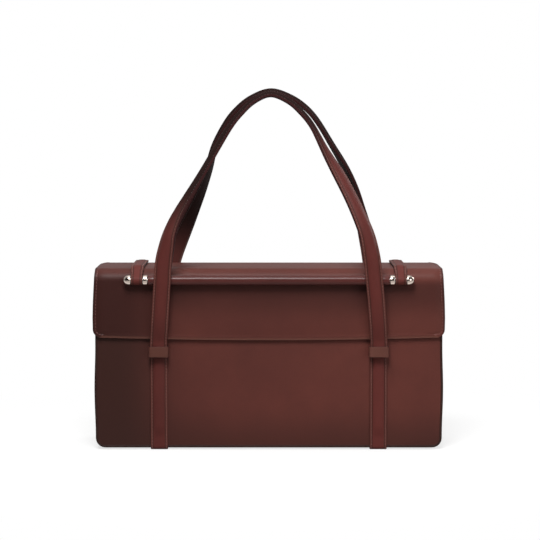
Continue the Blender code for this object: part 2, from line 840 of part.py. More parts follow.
def make_tail(name, side, facing):
    """The end of a handle strap inside its keeper, with a round top."""
    x = side * strap_x
    section = tail_section()
    half = strap_thickness / 2
    low = keeper_low + seat_gap
    rows = [(low, 1.0), (handle_pivot_height, 1.0)]
    for degrees in (30.0, 55.0, 75.0):
        turned = math.radians(degrees)
        rows.append((handle_pivot_height + half * math.sin(turned), math.cos(turned)))
    rings = []
    for height, share in rows:
        start = Vector((x, facing * tail_forward, height))
        rings.append([
            start + Vector((a, facing * (half + (b - half) * share), 0.0)) for a, b in section])
    make_object(name, loft(rings), calf(name))


def handle_controls(facing):
    """Control points of a handle, left pivot to right pivot: x, y, z and the turn."""
    rise = handle_rise + (back_handle_extra_rise if facing == BACK else 0.0)
    shares = back_handle_shares if facing == BACK else front_handle_shares
    left = []
    right = []
    for up, left_reach, right_reach, out, back_in, left_turn, right_turn in shares:
        forward = pivot_forward + (handle_belly - pivot_forward) * out
        forward -= (handle_belly - handle_apex_forward) * back_in
        place = (facing * forward, handle_pivot_height + rise * up)
        left.append((-strap_x * left_reach, *place, left_turn))
        right.append((strap_x * right_reach, *place, right_turn))
    return np.array(left + right[-2::-1])


def smooth_rows(controls):
    """Rows on a smooth curve through the control points."""
    padded = np.vstack((2 * controls[0] - controls[1], controls, 2 * controls[-1] - controls[-2]))
    rows = []
    for i in range(1, len(padded) - 2):
        before, start, end, after = padded[i - 1:i + 3]
        steps = max(path_steps, math.ceil(abs(end[3] - start[3]) / turn_per_step_share))
        for step in range(steps):
            t = step / steps
            rows.append(0.5 * (
                2 * start + (end - before) * t
                + (2 * before - 5 * start + 4 * end - after) * t ** 2
                + (3 * start - before - 3 * end + after) * t ** 3))
    rows.append(controls[-1])
    return rows


def cut_end(ring, along, facing):
    """Cut a handle's end on the plane that faces its tail when the handle is fully down."""
    limit = math.radians(handle_swing_degrees)
    ahead = Vector((0.0, facing * math.cos(limit), math.sin(limit)))
    pivot = Vector((0.0, facing * pivot_forward, handle_pivot_height))
    place = pivot + ahead * (strap_thickness / 2 + seat_gap)
    return [point + along * ((place - point).dot(ahead) / along.dot(ahead)) for point in ring]


def handle_layer(facing, section):
    """A layer of a strap that turns a quarter turn between its ends and its arch."""
    rows = smooth_rows(handle_controls(facing))
    rings = []
    for i, row in enumerate(rows):
        before = rows[max(i - 1, 0)]
        after = rows[min(i + 1, len(rows) - 1)]
        along = Vector(after[:3] - before[:3]).normalized()
        outward = Vector((-along.z, 0.0, along.x)).normalized()
        ahead = along.cross(outward) * (-facing)
        turned = math.radians(90.0) * row[3]
        normal = ahead * math.cos(turned) + outward * math.sin(turned)
        across = normal.cross(along)
        middle = Vector(row[:3])
        half = strap_thickness / 2
        ring = [middle + across * a + normal * (b - half) for a, b in section]
        if i in (0, len(rows) - 1):
            ring = cut_end(ring, along, facing)
        rings.append(ring)
    return loft(rings, [a for a, b in section])


def make_handle(name, facing, carrier):
    face = handle_layer(facing, face_section(strap_skin, strap_face_base, crown_rise))
    make_object(name + "_face", face, calf(name + "_face"), carrier)
    filler = handle_layer(facing, filler_section(strap_face_base, filler_thickness))
    make_object(name + "_filler", filler, felt(name + "_filler"), carrier)
    lining = handle_layer(facing, flat_section(0.0, strap_skin))
    make_object(name + "_lining", lining, lining_leather(name + "_lining"), carrier)


def build():
    clear_scene()
    make_panels()
    make_gusset("left_gusset", LEFT)
    make_gusset("right_gusset", RIGHT)
    make_base()
    make_welt("front_welt", FRONT)
    make_welt("back_welt", BACK)
    make_boards()
    make_lining()
    make_facing("front_facing", FRONT)
    make_facing("back_facing", BACK)

    flap_pivot = make_empty("flap_pivot", Vector((0.0, -hinge_forward, hinge_height)))
    make_flap_top(flap_pivot)
    crease = make_empty("crease_pivot", Vector((0.0, -flap_mid_forward, crease_height)))
    make_flap_front(crease)
    bar_axis = make_empty("bar_axis", Vector((0.0, -bar_forward, bar_height)))
    make_bar(bar_axis)

    for side_name, side in (("left", LEFT), ("right", RIGHT)):
        make_tab(side_name + "_tab", side, flap_pivot)
        make_girth_strap(side_name + "_girth_strap", side)
        for face_name, facing in (("front", FRONT), ("back", BACK)):
            stem = side_name + "_" + face_name
            make_girth_filler(stem + "_girth_filler", side, facing)
            make_keeper(stem + "_keeper", side, facing)
            make_tail(stem + "_handle_tail", side, facing)

    for face_name, facing in (("front", FRONT), ("back", BACK)):
        pivot = make_empty(
            face_name + "_handle_pivot",
            Vector((0.0, facing * pivot_forward, handle_pivot_height)))
        make_handle(face_name + "_handle", facing, pivot)


build()
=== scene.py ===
"""Looks of a wide flap handbag in burgundy calf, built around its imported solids.

Each leather piece is modelled flat, as it is cut, and then laid along its path. A flat
piece has its length along X, its width along Y and its height along Z.
"""
import math

import bmesh
import bpy
import numpy as np
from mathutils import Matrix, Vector


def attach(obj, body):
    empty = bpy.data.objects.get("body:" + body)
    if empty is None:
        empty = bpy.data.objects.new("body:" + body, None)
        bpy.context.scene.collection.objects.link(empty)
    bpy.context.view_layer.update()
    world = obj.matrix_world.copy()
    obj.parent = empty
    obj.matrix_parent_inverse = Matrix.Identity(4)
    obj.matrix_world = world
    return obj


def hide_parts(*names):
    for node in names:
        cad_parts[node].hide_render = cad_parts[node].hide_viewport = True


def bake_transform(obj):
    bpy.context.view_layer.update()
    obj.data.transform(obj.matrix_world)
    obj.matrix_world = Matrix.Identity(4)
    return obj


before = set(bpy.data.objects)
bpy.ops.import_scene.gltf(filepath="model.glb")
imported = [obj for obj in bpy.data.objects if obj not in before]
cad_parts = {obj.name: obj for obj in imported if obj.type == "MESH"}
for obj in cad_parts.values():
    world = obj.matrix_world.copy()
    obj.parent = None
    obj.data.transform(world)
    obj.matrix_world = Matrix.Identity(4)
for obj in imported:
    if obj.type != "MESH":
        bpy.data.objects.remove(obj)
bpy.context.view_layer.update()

MM = 0.001

# Body, in metres
BODY_HALF_WIDTH = 164.5 * MM
BODY_BULGE = 1.0 * MM
BULGE_LOW = 12.0 * MM
BULGE_HIGH = 100.0 * MM
BODY_CORNER = 9.0 * MM
BODY_UNDERSIDE = 1.7 * MM
HALF_DEPTH = 40.0 * MM
PANEL_SKIN = 1.6 * MM

# Flap
FLAP_TOP = 172.5 * MM
FLAP_FRONT = 43.8 * MM
FLAP_SHOULDER = 12.0 * MM
FLAP_THICKNESS = 3.3 * MM
FLAP_BOW = 2.7 * MM
FLAP_BOTTOM_HALF_WIDTH = 166.4 * MM
FLAP_CORNER = 7.5 * MM
FLAP_BACK = 40.95 * MM
FLAP_FOLD = 2.4 * MM
FLAP_SPLIT = 22.0 * MM
PAST_EDGE = 6.0 * MM

# Heights that hang from the flap's top
FRONT_RIM = FLAP_TOP - 10.0 * MM
SIDE_RIM = FLAP_TOP - 13.0 * MM
BACK_RIM = FLAP_TOP - 4.0 * MM
LINING_TOP = SIDE_RIM - 1.0 * MM
FACING_LOW = LINING_TOP - 24.0 * MM
FLAP_BACK_SEAM = FLAP_TOP - 21.0 * MM
FLAP_EDGE = FLAP_TOP - 65.0 * MM
KEEPER_TOP = FLAP_EDGE - 8.2 * MM
KEEPER_LOW = KEEPER_TOP - 10.2 * MM
PIVOT_HEIGHT = KEEPER_TOP + 4.2 * MM

# Straps
STRAP_X = 104.0 * MM
STRAP_WIDTH = 16.2 * MM
STRAP_HALF_THICKNESS = 2.15 * MM
CROWN_HALF_WIDTH = 5.7 * MM
GIRTH_FORWARD = 40.3 * MM
GIRTH_MARGIN = 1.4 * MM
GIRTH_CROWN = 2.0 * MM
KEEPER_SKIN = 1.0 * MM
PIVOT_FORWARD = 46.15 * MM
HANDLE_RISE = 233.3 * MM
HANDLE_CROWN = 2.7 * MM
CROWN_IN_KEEPER = 1.6 * MM
BACK_HANDLE_EXTRA_RISE = 3.0 * MM
HANDLE_BELLY = PIVOT_FORWARD + 12.15 * MM
HANDLE_APEX_FORWARD = 9.5 * MM

# Cross bar
BAR_FORWARD = 48.9 * MM
BAR_HEIGHT = FLAP_TOP - 10.3 * MM
BAR_RADIUS = 4.6 * MM
BORE_RADIUS = 2.8 * MM
TAB_X = 124.2 * MM
TAB_WIDTH = 10.8 * MM
TAB_GAP = 0.35 * MM
TAB_WRAP = 290.0
METAL_RADIUS = 4.75 * MM

# Stitches
STITCH_PITCH = 3.0 * MM
STRAP_SEAM = STRAP_WIDTH / 2 - 1.5 * MM
SEAM_START = 11.5 * MM
THREAD_RISE = 0.04 * MM
FLOOR_GAP = 0.02 * MM

# A handle's path in rows from its pivots to its apex, as shares: of the rise, of the way
# from pivot to belly, and of the way from belly to apex.
HANDLE_PROFILE = (
    (0.000, 0.000, 0.000), (0.074, 0.470, 0.000), (0.174, 0.680, 0.000), (0.253, 0.857, 0.000),
    (0.325, 0.935, 0.000), (0.389, 1.000, 0.000), (0.445, 1.000, 0.014), (0.515, 1.000, 0.103),
    (0.588, 1.000, 0.247), (0.683, 1.000, 0.443), (0.778, 1.000, 0.639), (0.873, 1.000, 0.814),
    (0.929, 1.000, 0.911), (0.972, 1.000, 0.973), (1.000, 1.000, 1.000))

# In the same rows: the straps' distance from the middle, left and right, as shares of
# STRAP_X, and how much of its quarter turn the strap has made, left and right.
FRONT_HANDLE_LEGS = (
    (1.000, 1.000, 0.00, 0.00), (0.988, 0.988, 0.00, 0.00), (0.972, 0.970, 0.00, 0.00),
    (0.960, 0.951, 0.01, 0.01), (0.948, 0.935, 0.10, 0.06), (0.923, 0.910, 0.31, 0.22),
    (0.895, 0.880, 0.50, 0.36), (0.831, 0.818, 0.64, 0.46), (0.735, 0.744, 0.78, 0.52),
    (0.603, 0.634, 0.85, 0.58), (0.478, 0.508, 0.89, 0.83), (0.346, 0.392, 0.94, 0.97),
    (0.242, 0.290, 0.98, 1.00), (0.135, 0.178, 1.00, 1.00), (-0.017, 0.017, 1.00, 1.00))
BACK_HANDLE_LEGS = (
    (1.000, 1.000, 0.00, 0.00), (0.985, 0.994, 0.00, 0.00), (0.960, 0.988, 0.00, 0.00),
    (0.938, 0.980, 0.01, 0.01), (0.894, 0.962, 0.08, 0.08), (0.840, 0.937, 0.20, 0.24),
    (0.788, 0.908, 0.34, 0.44), (0.722, 0.868, 0.50, 0.60), (0.652, 0.821, 0.64, 0.72),
    (0.570, 0.725, 0.80, 0.84), (0.506, 0.592, 0.90, 0.94), (0.392, 0.458, 1.00, 1.00),
    (0.286, 0.350, 1.00, 1.00), (0.160, 0.212, 1.00, 1.00), (-0.022, 0.022, 1.00, 1.00))


# Work on the bench: selecting, cutting and finishing

X, Y, Z = range(3)
TINY = 1e-6


def clear_selection():
    if bpy.context.mode != "OBJECT":
        bpy.ops.object.mode_set(mode="OBJECT")
    bpy.ops.object.select_all(action="DESELECT")


def pick(piece):
    clear_selection()
    bpy.context.view_layer.objects.active = piece
    piece.select_set(True)


def edit(piece):
    pick(piece)
    bpy.ops.object.mode_set(mode="EDIT")
    bpy.ops.mesh.select_mode(type="FACE")


def rename(piece, name):
    piece.name = name
    piece.data.name = name
    return piece


def named(name):
    """Name the primitive that was just added, and put its place into its mesh."""
    bpy.ops.object.transform_apply(location=True, rotation=True, scale=True)
    return rename(bpy.context.active_object, name)


def block(name, low, high):
    clear_selection()
    low, high = Vector(low), Vector(high)
    bpy.ops.mesh.primitive_cube_add(size=1.0, location=(low + high) / 2, scale=high - low)
    return named(name)


def at(value, place):
    return abs(value - place) < TINY


def lengthwise(a, b):
    """Whether an edge runs along X."""
    return not at(a.x, b.x) and at(a.y, b.y) and at(a.z, b.z)


def choose(piece, faces=None, edges=None, points=None):
    """Select in edit mode what passes a test on its middle, or on an edge's two ends."""
    bpy.ops.mesh.select_mode(type="FACE" if faces else "EDGE" if edges else "VERT")
    bpy.ops.mesh.select_all(action="DESELECT")
    shape = bmesh.from_edit_mesh(piece.data)
    shape.normal_update()
    if faces:
        for face in shape.faces:
            face.select_set(bool(faces(face.calc_center_median(), face.normal)))
    if edges:
        for edge in shape.edges:
            if edges(edge.verts[0].co, edge.verts[1].co):
                edge.select_set(True)
    if points:
        for point in shape.verts:
            if points(point.co):
                point.select_set(True)
    shape.select_flush_mode()
    bmesh.update_edit_mesh(piece.data)


def slice_across(axis, places):
    """Cut the piece in edit mode by planes square to an axis."""
    direction = np.eye(3)[axis]
    for place in places:
        bpy.ops.mesh.select_all(action="SELECT")
        bpy.ops.mesh.bisect(
            plane_co=tuple(direction * place), plane_no=tuple(direction), threshold=1e-7)


def cut_along(piece, cuts):
    """Divide the lengthwise edges of the piece in edit mode, once for each of these numbers."""
    for number in cuts:
        choose(piece, edges=lengthwise)
        bpy.ops.mesh.subdivide(number_cuts=number)
    clear_selection()


def bevel(width, segments=2):
    bpy.ops.mesh.bevel(
        offset=width, offset_type="OFFSET", segments=segments, profile=0.5, affect="EDGES",
        clamp_overlap=True)


def finish_with(piece, kind, **settings):
    """Put a modifier on the piece and apply it."""
    pick(piece)
    modifier = piece.modifiers.new(kind.lower(), kind)
    for key, value in settings.items():
        setattr(modifier, key, value)
    bpy.ops.object.modifier_apply(modifier=modifier.name)


def smooth(piece, degrees=40.0):
    pick(piece)
    bpy.ops.object.shade_smooth_by_angle(angle=math.radians(degrees))


def face_outwards(piece):
    edit(piece)
    bpy.ops.mesh.select_all(action="SELECT")
    bpy.ops.mesh.normals_make_consistent(inside=False)
    clear_selection()


def points_of(piece):
    rows = np.zeros(len(piece.data.vertices) * 3)
    piece.data.vertices.foreach_get("co", rows)
    return rows.reshape(-1, 3)


def move_points(piece, rows):
    piece.data.vertices.foreach_set("co", np.ascontiguousarray(rows, dtype=np.float32).ravel())
    piece.data.update()


def note(piece, name, values):
    """Keep one number per point, for the leather's colour."""
    attribute = piece.data.attributes.new(name, "FLOAT", "POINT")
    attribute.data.foreach_set("value", np.asarray(values, dtype=np.float32))


def joined(name, pieces):
    clear_selection()
    for piece in pieces:
        piece.select_set(True)
    bpy.context.view_layer.objects.active = pieces[0]
    bpy.ops.object.join()
    return rename(bpy.context.active_object, name)


def eased(values, low, high):
    share = np.clip((np.asarray(values) - low) / (high - low), 0.0, 1.0)
    return share * share * (3.0 - 2.0 * share)


def ripple(rows, size, seed):
    """A slow, smooth unevenness between about -1 and 1."""
    random = np.random.default_rng(seed)
    total = np.zeros(len(rows))
    for _ in range(5):
        wave = random.normal(size=3)
        wave = wave / np.linalg.norm(wave) * random.uniform(0.6, 1.5) * math.tau / size
        total += np.sin(rows @ wave + random.uniform(0.0, math.tau))
    return total / 3.0


# Paths, and laying a flat piece along one


def unit(rows):
    return rows / np.linalg.norm(rows, axis=1)[:, None]


def path_through(origins, across, normals):
    """Distances along a path, its points, and the directions of width and height there."""
    origins, across, normals = (np.array(rows, float) for rows in (origins, across, normals))
    steps = np.linalg.norm(np.diff(origins, axis=0), axis=1)
    return np.concatenate(([0.0], np.cumsum(steps))), origins, across, normals


def length_of(path):
    return float(path[0][-1])


def lay(piece, path):
    """Bend a flat piece along a path, and run on straight past its ends."""
    distance, origins, across, normals = path
    flat = points_of(piece)
    along = flat[:, 0]

    def there(rows):
        return np.stack([np.interp(along, distance, rows[:, k]) for k in range(3)], axis=1)

    placed = there(origins) + unit(there(across)) * flat[:, 1:2]
    placed += unit(there(normals)) * flat[:, 2:3]
    start = origins[0] - origins[1]
    end = origins[-1] - origins[-2]
    before = np.clip(-along, 0.0, None)
    after = np.clip(along - distance[-1], 0.0, None)
    placed += before[:, None] * start / np.linalg.norm(start)
    placed += after[:, None] * end / np.linalg.norm(end)
    move_points(piece, placed)


def plane_path(points, across, side=1.0):
    """A path in a plane square to `across`; its normal lies to one side of the way along."""
    points = np.array(points, float)
    width = np.repeat(np.array([across], float), len(points), axis=0)
    normals = np.cross(unit(np.gradient(points, axis=0)), width) * side
    return path_through(points, width, unit(normals))


def arc_points(centre, radius, start, end, count, first, second):
    """Points of an arc; its angles run from the `first` direction to the `second`."""
    centre, first, second = Vector(centre), Vector(first), Vector(second)
    return [centre + (first * math.cos(turned) + second * math.sin(turned)) * radius
            for turned in map(math.radians, np.linspace(start, end, count + 1))]


def run(start, end, count):
    start, end = Vector(start), Vector(end)
    return [start.lerp(end, i / count) for i in range(count)]


def corner_points(x, y, radius, start, end, count):
    """Flat points of an arc, without its first."""
    return [(x + radius * math.cos(turned), y + radius * math.sin(turned))
            for turned in map(math.radians, np.linspace(start, end, count)[1:])]


FORWARD = Vector((0.0, -1.0, 0.0))
UP = Vector((0.0, 0.0, 1.0))
ACROSS = Vector((1.0, 0.0, 0.0))


def side_point(x, forward, height):
    return Vector((x, -forward, height))


def side_arc(x, forward, height, radius, start, end, count):
    """Points of an arc in side view: 0 degrees is forwards and 90 is up."""
    return arc_points(side_point(x, forward, height), radius, start, end, count, FORWARD, UP)


# Materials


def nodes_of(name):
    material = bpy.data.materials.new(name)
    material.use_nodes = True
    tree = material.node_tree
    return material, tree, tree.nodes["Principled BSDF"]


def fill_in(tree, node, values):
    """Give a node's inputs numbers and colours, or link them to other nodes."""
    for key, value in values.items():
        socket = node.inputs[key]
        if isinstance(value, bpy.types.NodeSocket):
            tree.links.new(value, socket)
        else:
            socket.default_value = (*value, 1.0) if isinstance(value, tuple) else value


def add_node(tree, kind, values=None, **settings):
    node = tree.nodes.new(kind)
    for key, value in settings.items():
        setattr(node, key, value)
    fill_in(tree, node, values or {})
    return node


def object_place(tree):
    return add_node(tree, "ShaderNodeTexCoord").outputs["Object"]


def noise(tree, where, scale, detail=3.0, roughness=0.5):
    return add_node(tree, "ShaderNodeTexNoise", {
        "Vector": where, "Scale": scale, "Detail": detail,
        "Roughness": roughness}).outputs["Fac"]


def bands(tree, direction, scale, distortion):
    return add_node(
        tree, "ShaderNodeTexWave",
        {"Vector": object_place(tree), "Scale": scale, "Distortion": distortion},
        wave_type="BANDS", bands_direction=direction).outputs["Fac"]


def mark(tree, name):
    """The share that was noted at the piece's points."""
    return add_node(tree, "ShaderNodeAttribute", attribute_name=name).outputs["Fac"]


def math_node(tree, operation, first, second):
    return add_node(
        tree, "ShaderNodeMath", {0: first, 1: second}, operation=operation).outputs[0]


def weigh(tree, *parts, base=None):
    """The sum of values times their weights, and of a number."""
    total, *others = (math_node(tree, "MULTIPLY", value, weight) for value, weight in parts)
    for part in others if base is None else (*others, base):
        total = math_node(tree, "ADD", total, part)
    return total


def between(tree, value, low, high, to_low=0.0, to_high=1.0):
    return add_node(
        tree, "ShaderNodeMapRange",
        {"Value": value, "From Min": low, "From Max": high, "To Min": to_low,
         "To Max": to_high},
        interpolation_type="SMOOTHSTEP").outputs["Result"]


def mix_color(tree, share, first, second, kind="MIX"):
    return add_node(
        tree, "ShaderNodeMix", {0: share, 6: first, 7: second}, data_type="RGBA",
        blend_type=kind).outputs[2]


def relief(tree, height, strength, depth, under=None):
    """The normals of a surface whose height is up to `depth` millimetres."""
    bump = add_node(tree, "ShaderNodeBump", {
        "Height": height, "Strength": strength, "Distance": depth * MM})
    if under is not None:
        tree.links.new(under, bump.inputs["Normal"])
    return bump.outputs["Normal"]


def new_group(name, inputs, outputs):
    """A node group, the sockets that it is given and the node for its results."""
    group = bpy.data.node_groups.new(name, "ShaderNodeTree")
    for direction, sockets in (("INPUT", inputs), ("OUTPUT", outputs)):
        for key, kind in sockets.items():
            group.interface.new_socket(
                name=key, in_out=direction, socket_type="NodeSocket" + kind)
    given = group.nodes.new("NodeGroupInput").outputs
    return group, given, group.nodes.new("NodeGroupOutput")


def calf_group():
    """Finished calf: slow shade changes, a fine grain, pores and soft creases."""
    group, given, result = new_group(
        "calf_surface",
        {"Vector": "Vector", "Deep": "Color", "Warm": "Color", "Grain Size": "Float"},
        {"Color": "Color", "Roughness": "Float", "Height": "Float"})
    where = given["Vector"]
    broad = noise(group, where, 6.0, 1.0)
    cloudy = noise(group, where, 38.0, 3.0, 0.55)
    pores = noise(group, where, 2600.0, 2.0, 0.6)
    creases = noise(group, where, 130.0, 4.0, 0.6)
    cells = add_node(
        group, "ShaderNodeTexVoronoi", {"Vector": where, "Scale": given["Grain Size"]},
        feature="DISTANCE_TO_EDGE")
    grain = between(group, cells.outputs["Distance"], 0.0, 0.16)
    share = between(group, weigh(group, (broad, 0.75), (cloudy, 0.25)), 0.30, 0.70)
    shade = weigh(group, (grain, 0.10), base=0.90)
    tint = add_node(group, "ShaderNodeCombineColor", {0: shade, 1: shade, 2: shade})
    color = mix_color(group, share, given["Deep"], given["Warm"])
    fill_in(group, result, {
        "Color": mix_color(group, 1.0, color, tint.outputs[0], "MULTIPLY"),
        "Roughness": weigh(group, (cloudy, 0.14), (pores, 0.05), base=0.46),
        "Height": weigh(group, (grain, 0.35), (pores, 0.20), (creases, 0.9))})
    return group


def make_calf(
        name, deep, warm, bump=0.10, coat=0.05, coat_roughness=0.34, gloss=0.14, creased=False,
        **shades):
    """Calf leather; margin, painted shade, grip (hand wear and painted shade) and edge may each
    have a colour of their own.
    """
    material, tree, shader = nodes_of(name)
    surface = add_node(tree, "ShaderNodeGroup", node_tree=CALF)
    fill_in(tree, surface, {
        "Vector": object_place(tree), "Deep": deep, "Warm": warm, "Grain Size": GRAIN_SIZE})
    color, rough, height = (surface.outputs[k] for k in ("Color", "Roughness", "Height"))
    for part in ("margin", "burnish", "grip", "edge"):
        if part in shades:
            color = mix_color(tree, mark(tree, part), color, shades[part])
    if "grip" in shades:
        worn = math_node(tree, "MULTIPLY", mark(tree, "grip"), GRIP_ROUGHNESS)
        rough = math_node(tree, "ADD", rough, worn)
    folds = pulled_creases(tree) if creased else None
    fill_in(tree, shader, {
        "Base Color": color, "Roughness": rough,
        "Normal": relief(tree, height, bump, 0.25, folds), "Coat Weight": coat,
        "Coat Roughness": coat_roughness, "Specular IOR Level": gloss})
    return material


def pulled_creases(tree):
    """The normals of slanting creases where the leather is noted as pulled."""
    broken = between(tree, noise(tree, object_place(tree), 70.0, 1.0), 0.40, 0.62)
    height = math_node(
        tree, "MULTIPLY", bands(tree, "DIAGONAL", 42.0, 9.0), mark(tree, "pulled"))
    return relief(tree, math_node(tree, "MULTIPLY", height, broken), 1.0, 1.3)


def make_cloth():
    """Plain woven lining."""
    material, tree, shader = nodes_of("lining_cloth")
    fibres = noise(tree, object_place(tree), 700.0)
    color = mix_color(tree, fibres, (0.060, 0.014, 0.017), (0.105, 0.027, 0.030))
    weave = math_node(tree, "MULTIPLY", *(bands(tree, axis, 260.0, 0.6) for axis in "XZ"))
    light = between(tree, weave, 0.0, 0.5, 0.75, 1.0)
    fill_in(tree, shader, {
        "Base Color": mix_color(tree, light, (0.03, 0.008, 0.01), color),
        "Roughness": 0.85, "Normal": relief(tree, weave, 0.4, 0.15)})
    return material


def make_thread():
    material, tree, shader = nodes_of("thread")
    twist = noise(tree, object_place(tree), 1500.0, 2.0)
    color = mix_color(tree, twist, (0.085, 0.024, 0.022), (0.20, 0.075, 0.062))
    # The thread darkens with the handles' grip: partly hand wear, partly painted shade.
    color = mix_color(tree, mark(tree, "grip"), color, (0.012, 0.0045, 0.0040))
    fill_in(tree, shader, {"Base Color": color, "Roughness": 0.55})
    return material


def make_metal(name, color, roughness, spread, scale):
    """Metal whose polish changes a little over the surface."""
    material, tree, shader = nodes_of(name)
    marks = noise(tree, object_place(tree), scale, 4.0)
    fill_in(tree, shader, {
        "Base Color": color, "Metallic": 1.0,
        "Roughness": weigh(tree, (marks, spread), base=roughness)})
    return material


def make_fibre(name, dark, light, scale):
    material, tree, shader = nodes_of(name)
    fibres = noise(tree, object_place(tree), scale, 5.0, 0.7)
    fill_in(tree, shader, {
        "Base Color": mix_color(tree, fibres, dark, light), "Roughness": 0.9,
        "Normal": relief(tree, fibres, 0.5, 0.2)})
    return material


CALF = calf_group()
GRAIN_SIZE = 900.0
GRIP_ROUGHNESS = 0.30
DEEP = (0.071, 0.0185, 0.0142)
WARM = (0.102, 0.0258, 0.0190)
# Colour of painted shade and painted shadows on the leather.
PAINTED_SHADE = (0.028, 0.0085, 0.0062)
# Colour of the painted highlight along the flap's front edge.
PAINTED_EDGE_HIGHLIGHT = (0.270, 0.110, 0.082)
DARK_EDGE = (0.026, 0.007, 0.007)
# The shell's painted shade darkens its left end and its foot.
panel_calf = make_calf("panel_calf", DEEP, WARM, burnish=PAINTED_SHADE)
# Welt leather darkened to stand in for the shade along the body's outline: painted shade.
welt_calf_painted_shade = make_calf("welt_calf_painted_shade", (0.021, 0.0085, 0.0068), (0.031, 0.0120, 0.0092), coat=0.0)
# The flap's painted shade colour; its pale edge is a painted highlight.
flap_calf = make_calf(
    "flap_calf", DEEP, WARM, margin=DARK_EDGE, edge=PAINTED_EDGE_HIGHLIGHT, burnish=(0.026, 0.0060, 0.0045),
    creased=True)
# The strap's painted shade darkens the groove beside its crown; its grip colour is partly hand
# wear, partly painted shade.
strap_calf = make_calf(
    "strap_calf", (0.072, 0.0175, 0.0148), (0.106, 0.0240, 0.0200), margin=(0.090, 0.030, 0.024),
    edge=DARK_EDGE, burnish=PAINTED_SHADE, grip=(0.009, 0.0032, 0.0026), coat=0.0, gloss=0.10)
bar_calf = make_calf(
    "bar_calf", (0.056, 0.0110, 0.0090), (0.080, 0.0155, 0.0125), coat=0.30, gloss=0.10,
    coat_roughness=0.28)
keeper_calf = make_calf("keeper_calf", (0.070, 0.024, 0.017), (0.108, 0.038, 0.028), edge=DARK_EDGE)
lining_calf = make_calf(
    "lining_calf", (0.088, 0.020, 0.016), (0.125, 0.029, 0.022), bump=0.06, coat=0.0)
lining_cloth = make_cloth()
thread = make_thread()
polished_metal = make_metal("polished_metal", (0.60, 0.51, 0.45), 0.06, 0.05, 300.0)
plain_steel = make_metal("plain_steel", (0.52, 0.51, 0.50), 0.25, 0.2, 900.0)
fibreboard = make_fibre("fibreboard", (0.050, 0.021, 0.015), (0.090, 0.040, 0.028), 900.0)


def dress(piece, material):
    """Give the piece its finish."""
    piece.data.materials.clear()
    piece.data.materials.append(material)


def finish(piece, material, degrees=40.0):
    """Turn the piece's faces outwards, shade them smooth and dress it."""
    face_outwards(piece)
    smooth(piece, degrees)
    dress(piece, material)


# Straps


def flat_strap(
        name, length, width, margin, crown, crown_half, cuts, low=0.0, roundness=0.45, slope=1.2):
    """A strap cut to length: thin stitched margins and a raised, domed middle.

    Its underside is at `low`, its margins are `margin` thick, and its middle rises by
    `crown` above them over twice `crown_half`, with flanks `slope` millimetres wide.
    """
    half = width / 2
    piece = block(name, (0.0, -half, low), (length, half, low + margin))
    edit(piece)
    flank = crown_half - slope * MM
    slice_across(Y, (-crown_half, -flank, 0.0, flank, crown_half))
    top = low + margin - TINY
    for reach, share in ((flank, 0.88), (0.0, 0.12)):
        choose(piece, points=lambda p: p.z > top and abs(p.y) < reach + TINY)
        bpy.ops.transform.translate(value=(0.0, 0.0, crown * share))
    choose(piece, edges=lambda a, b: lengthwise(a, b) and at(abs(a.y), half))
    bevel(min(roundness * MM, margin / 3))
    cut_along(piece, cuts)
    finish_with(piece, "SUBSURF", levels=1, render_levels=1)
    return piece


def stitch_row(name, start, end, across, height, pitch=STITCH_PITCH):
    """A straight row of stitches: one is modelled and the rest are arrayed after it."""
    count = max(2, int((end - start) / pitch))
    clear_selection()
    bpy.ops.mesh.primitive_uv_sphere_add(
        segments=8, ring_count=5, radius=1.0, location=(start + pitch / 2, across, height),
        rotation=(0.0, math.radians(90.0), math.radians(7.0)),
        scale=(0.17 * MM, 0.25 * MM, pitch * 0.40))
    piece = named(name)
    finish_with(
        piece, "ARRAY", count=count, use_relative_offset=False, use_constant_offset=True,
        constant_offset_displace=(pitch, 0.0, 0.0), use_merge_vertices=False)
    return piece


def stitch_rows(name, seam, start, end, heights, pitch=STITCH_PITCH):
    """Rows of stitches `seam` to both sides of a strap's middle, at each of the heights."""
    rows = [stitch_row("stitch", start, end, across, height, pitch)
            for across in (-seam, seam) for height in heights]
    return joined(name + "_stitching", rows)


def note_margin(piece, crown_half, half):
    """Mark how far into the stitched margin each point of a flat strap lies."""
    across = np.abs(points_of(piece)[:, 1])
    note(piece, "margin", eased(across, crown_half - 0.4 * MM, crown_half + 0.3 * MM))
    note(piece, "edge", eased(across, half - 0.35 * MM, half - 0.02 * MM))
    # Painted shade in the groove between the crown and the margin.
    groove = np.abs(across - crown_half - 0.1 * MM)
    note(piece, "burnish", 0.8 * (1.0 - eased(groove, 0.1 * MM, 0.7 * MM)))


def scale_crown(rows, base, factor):
    """Change by a factor how far a flat strap's crown stands above its margins."""
    above = rows[:, 2] > base
    rows[above, 2] = base + (rows[above, 2] - base) * factor[above]


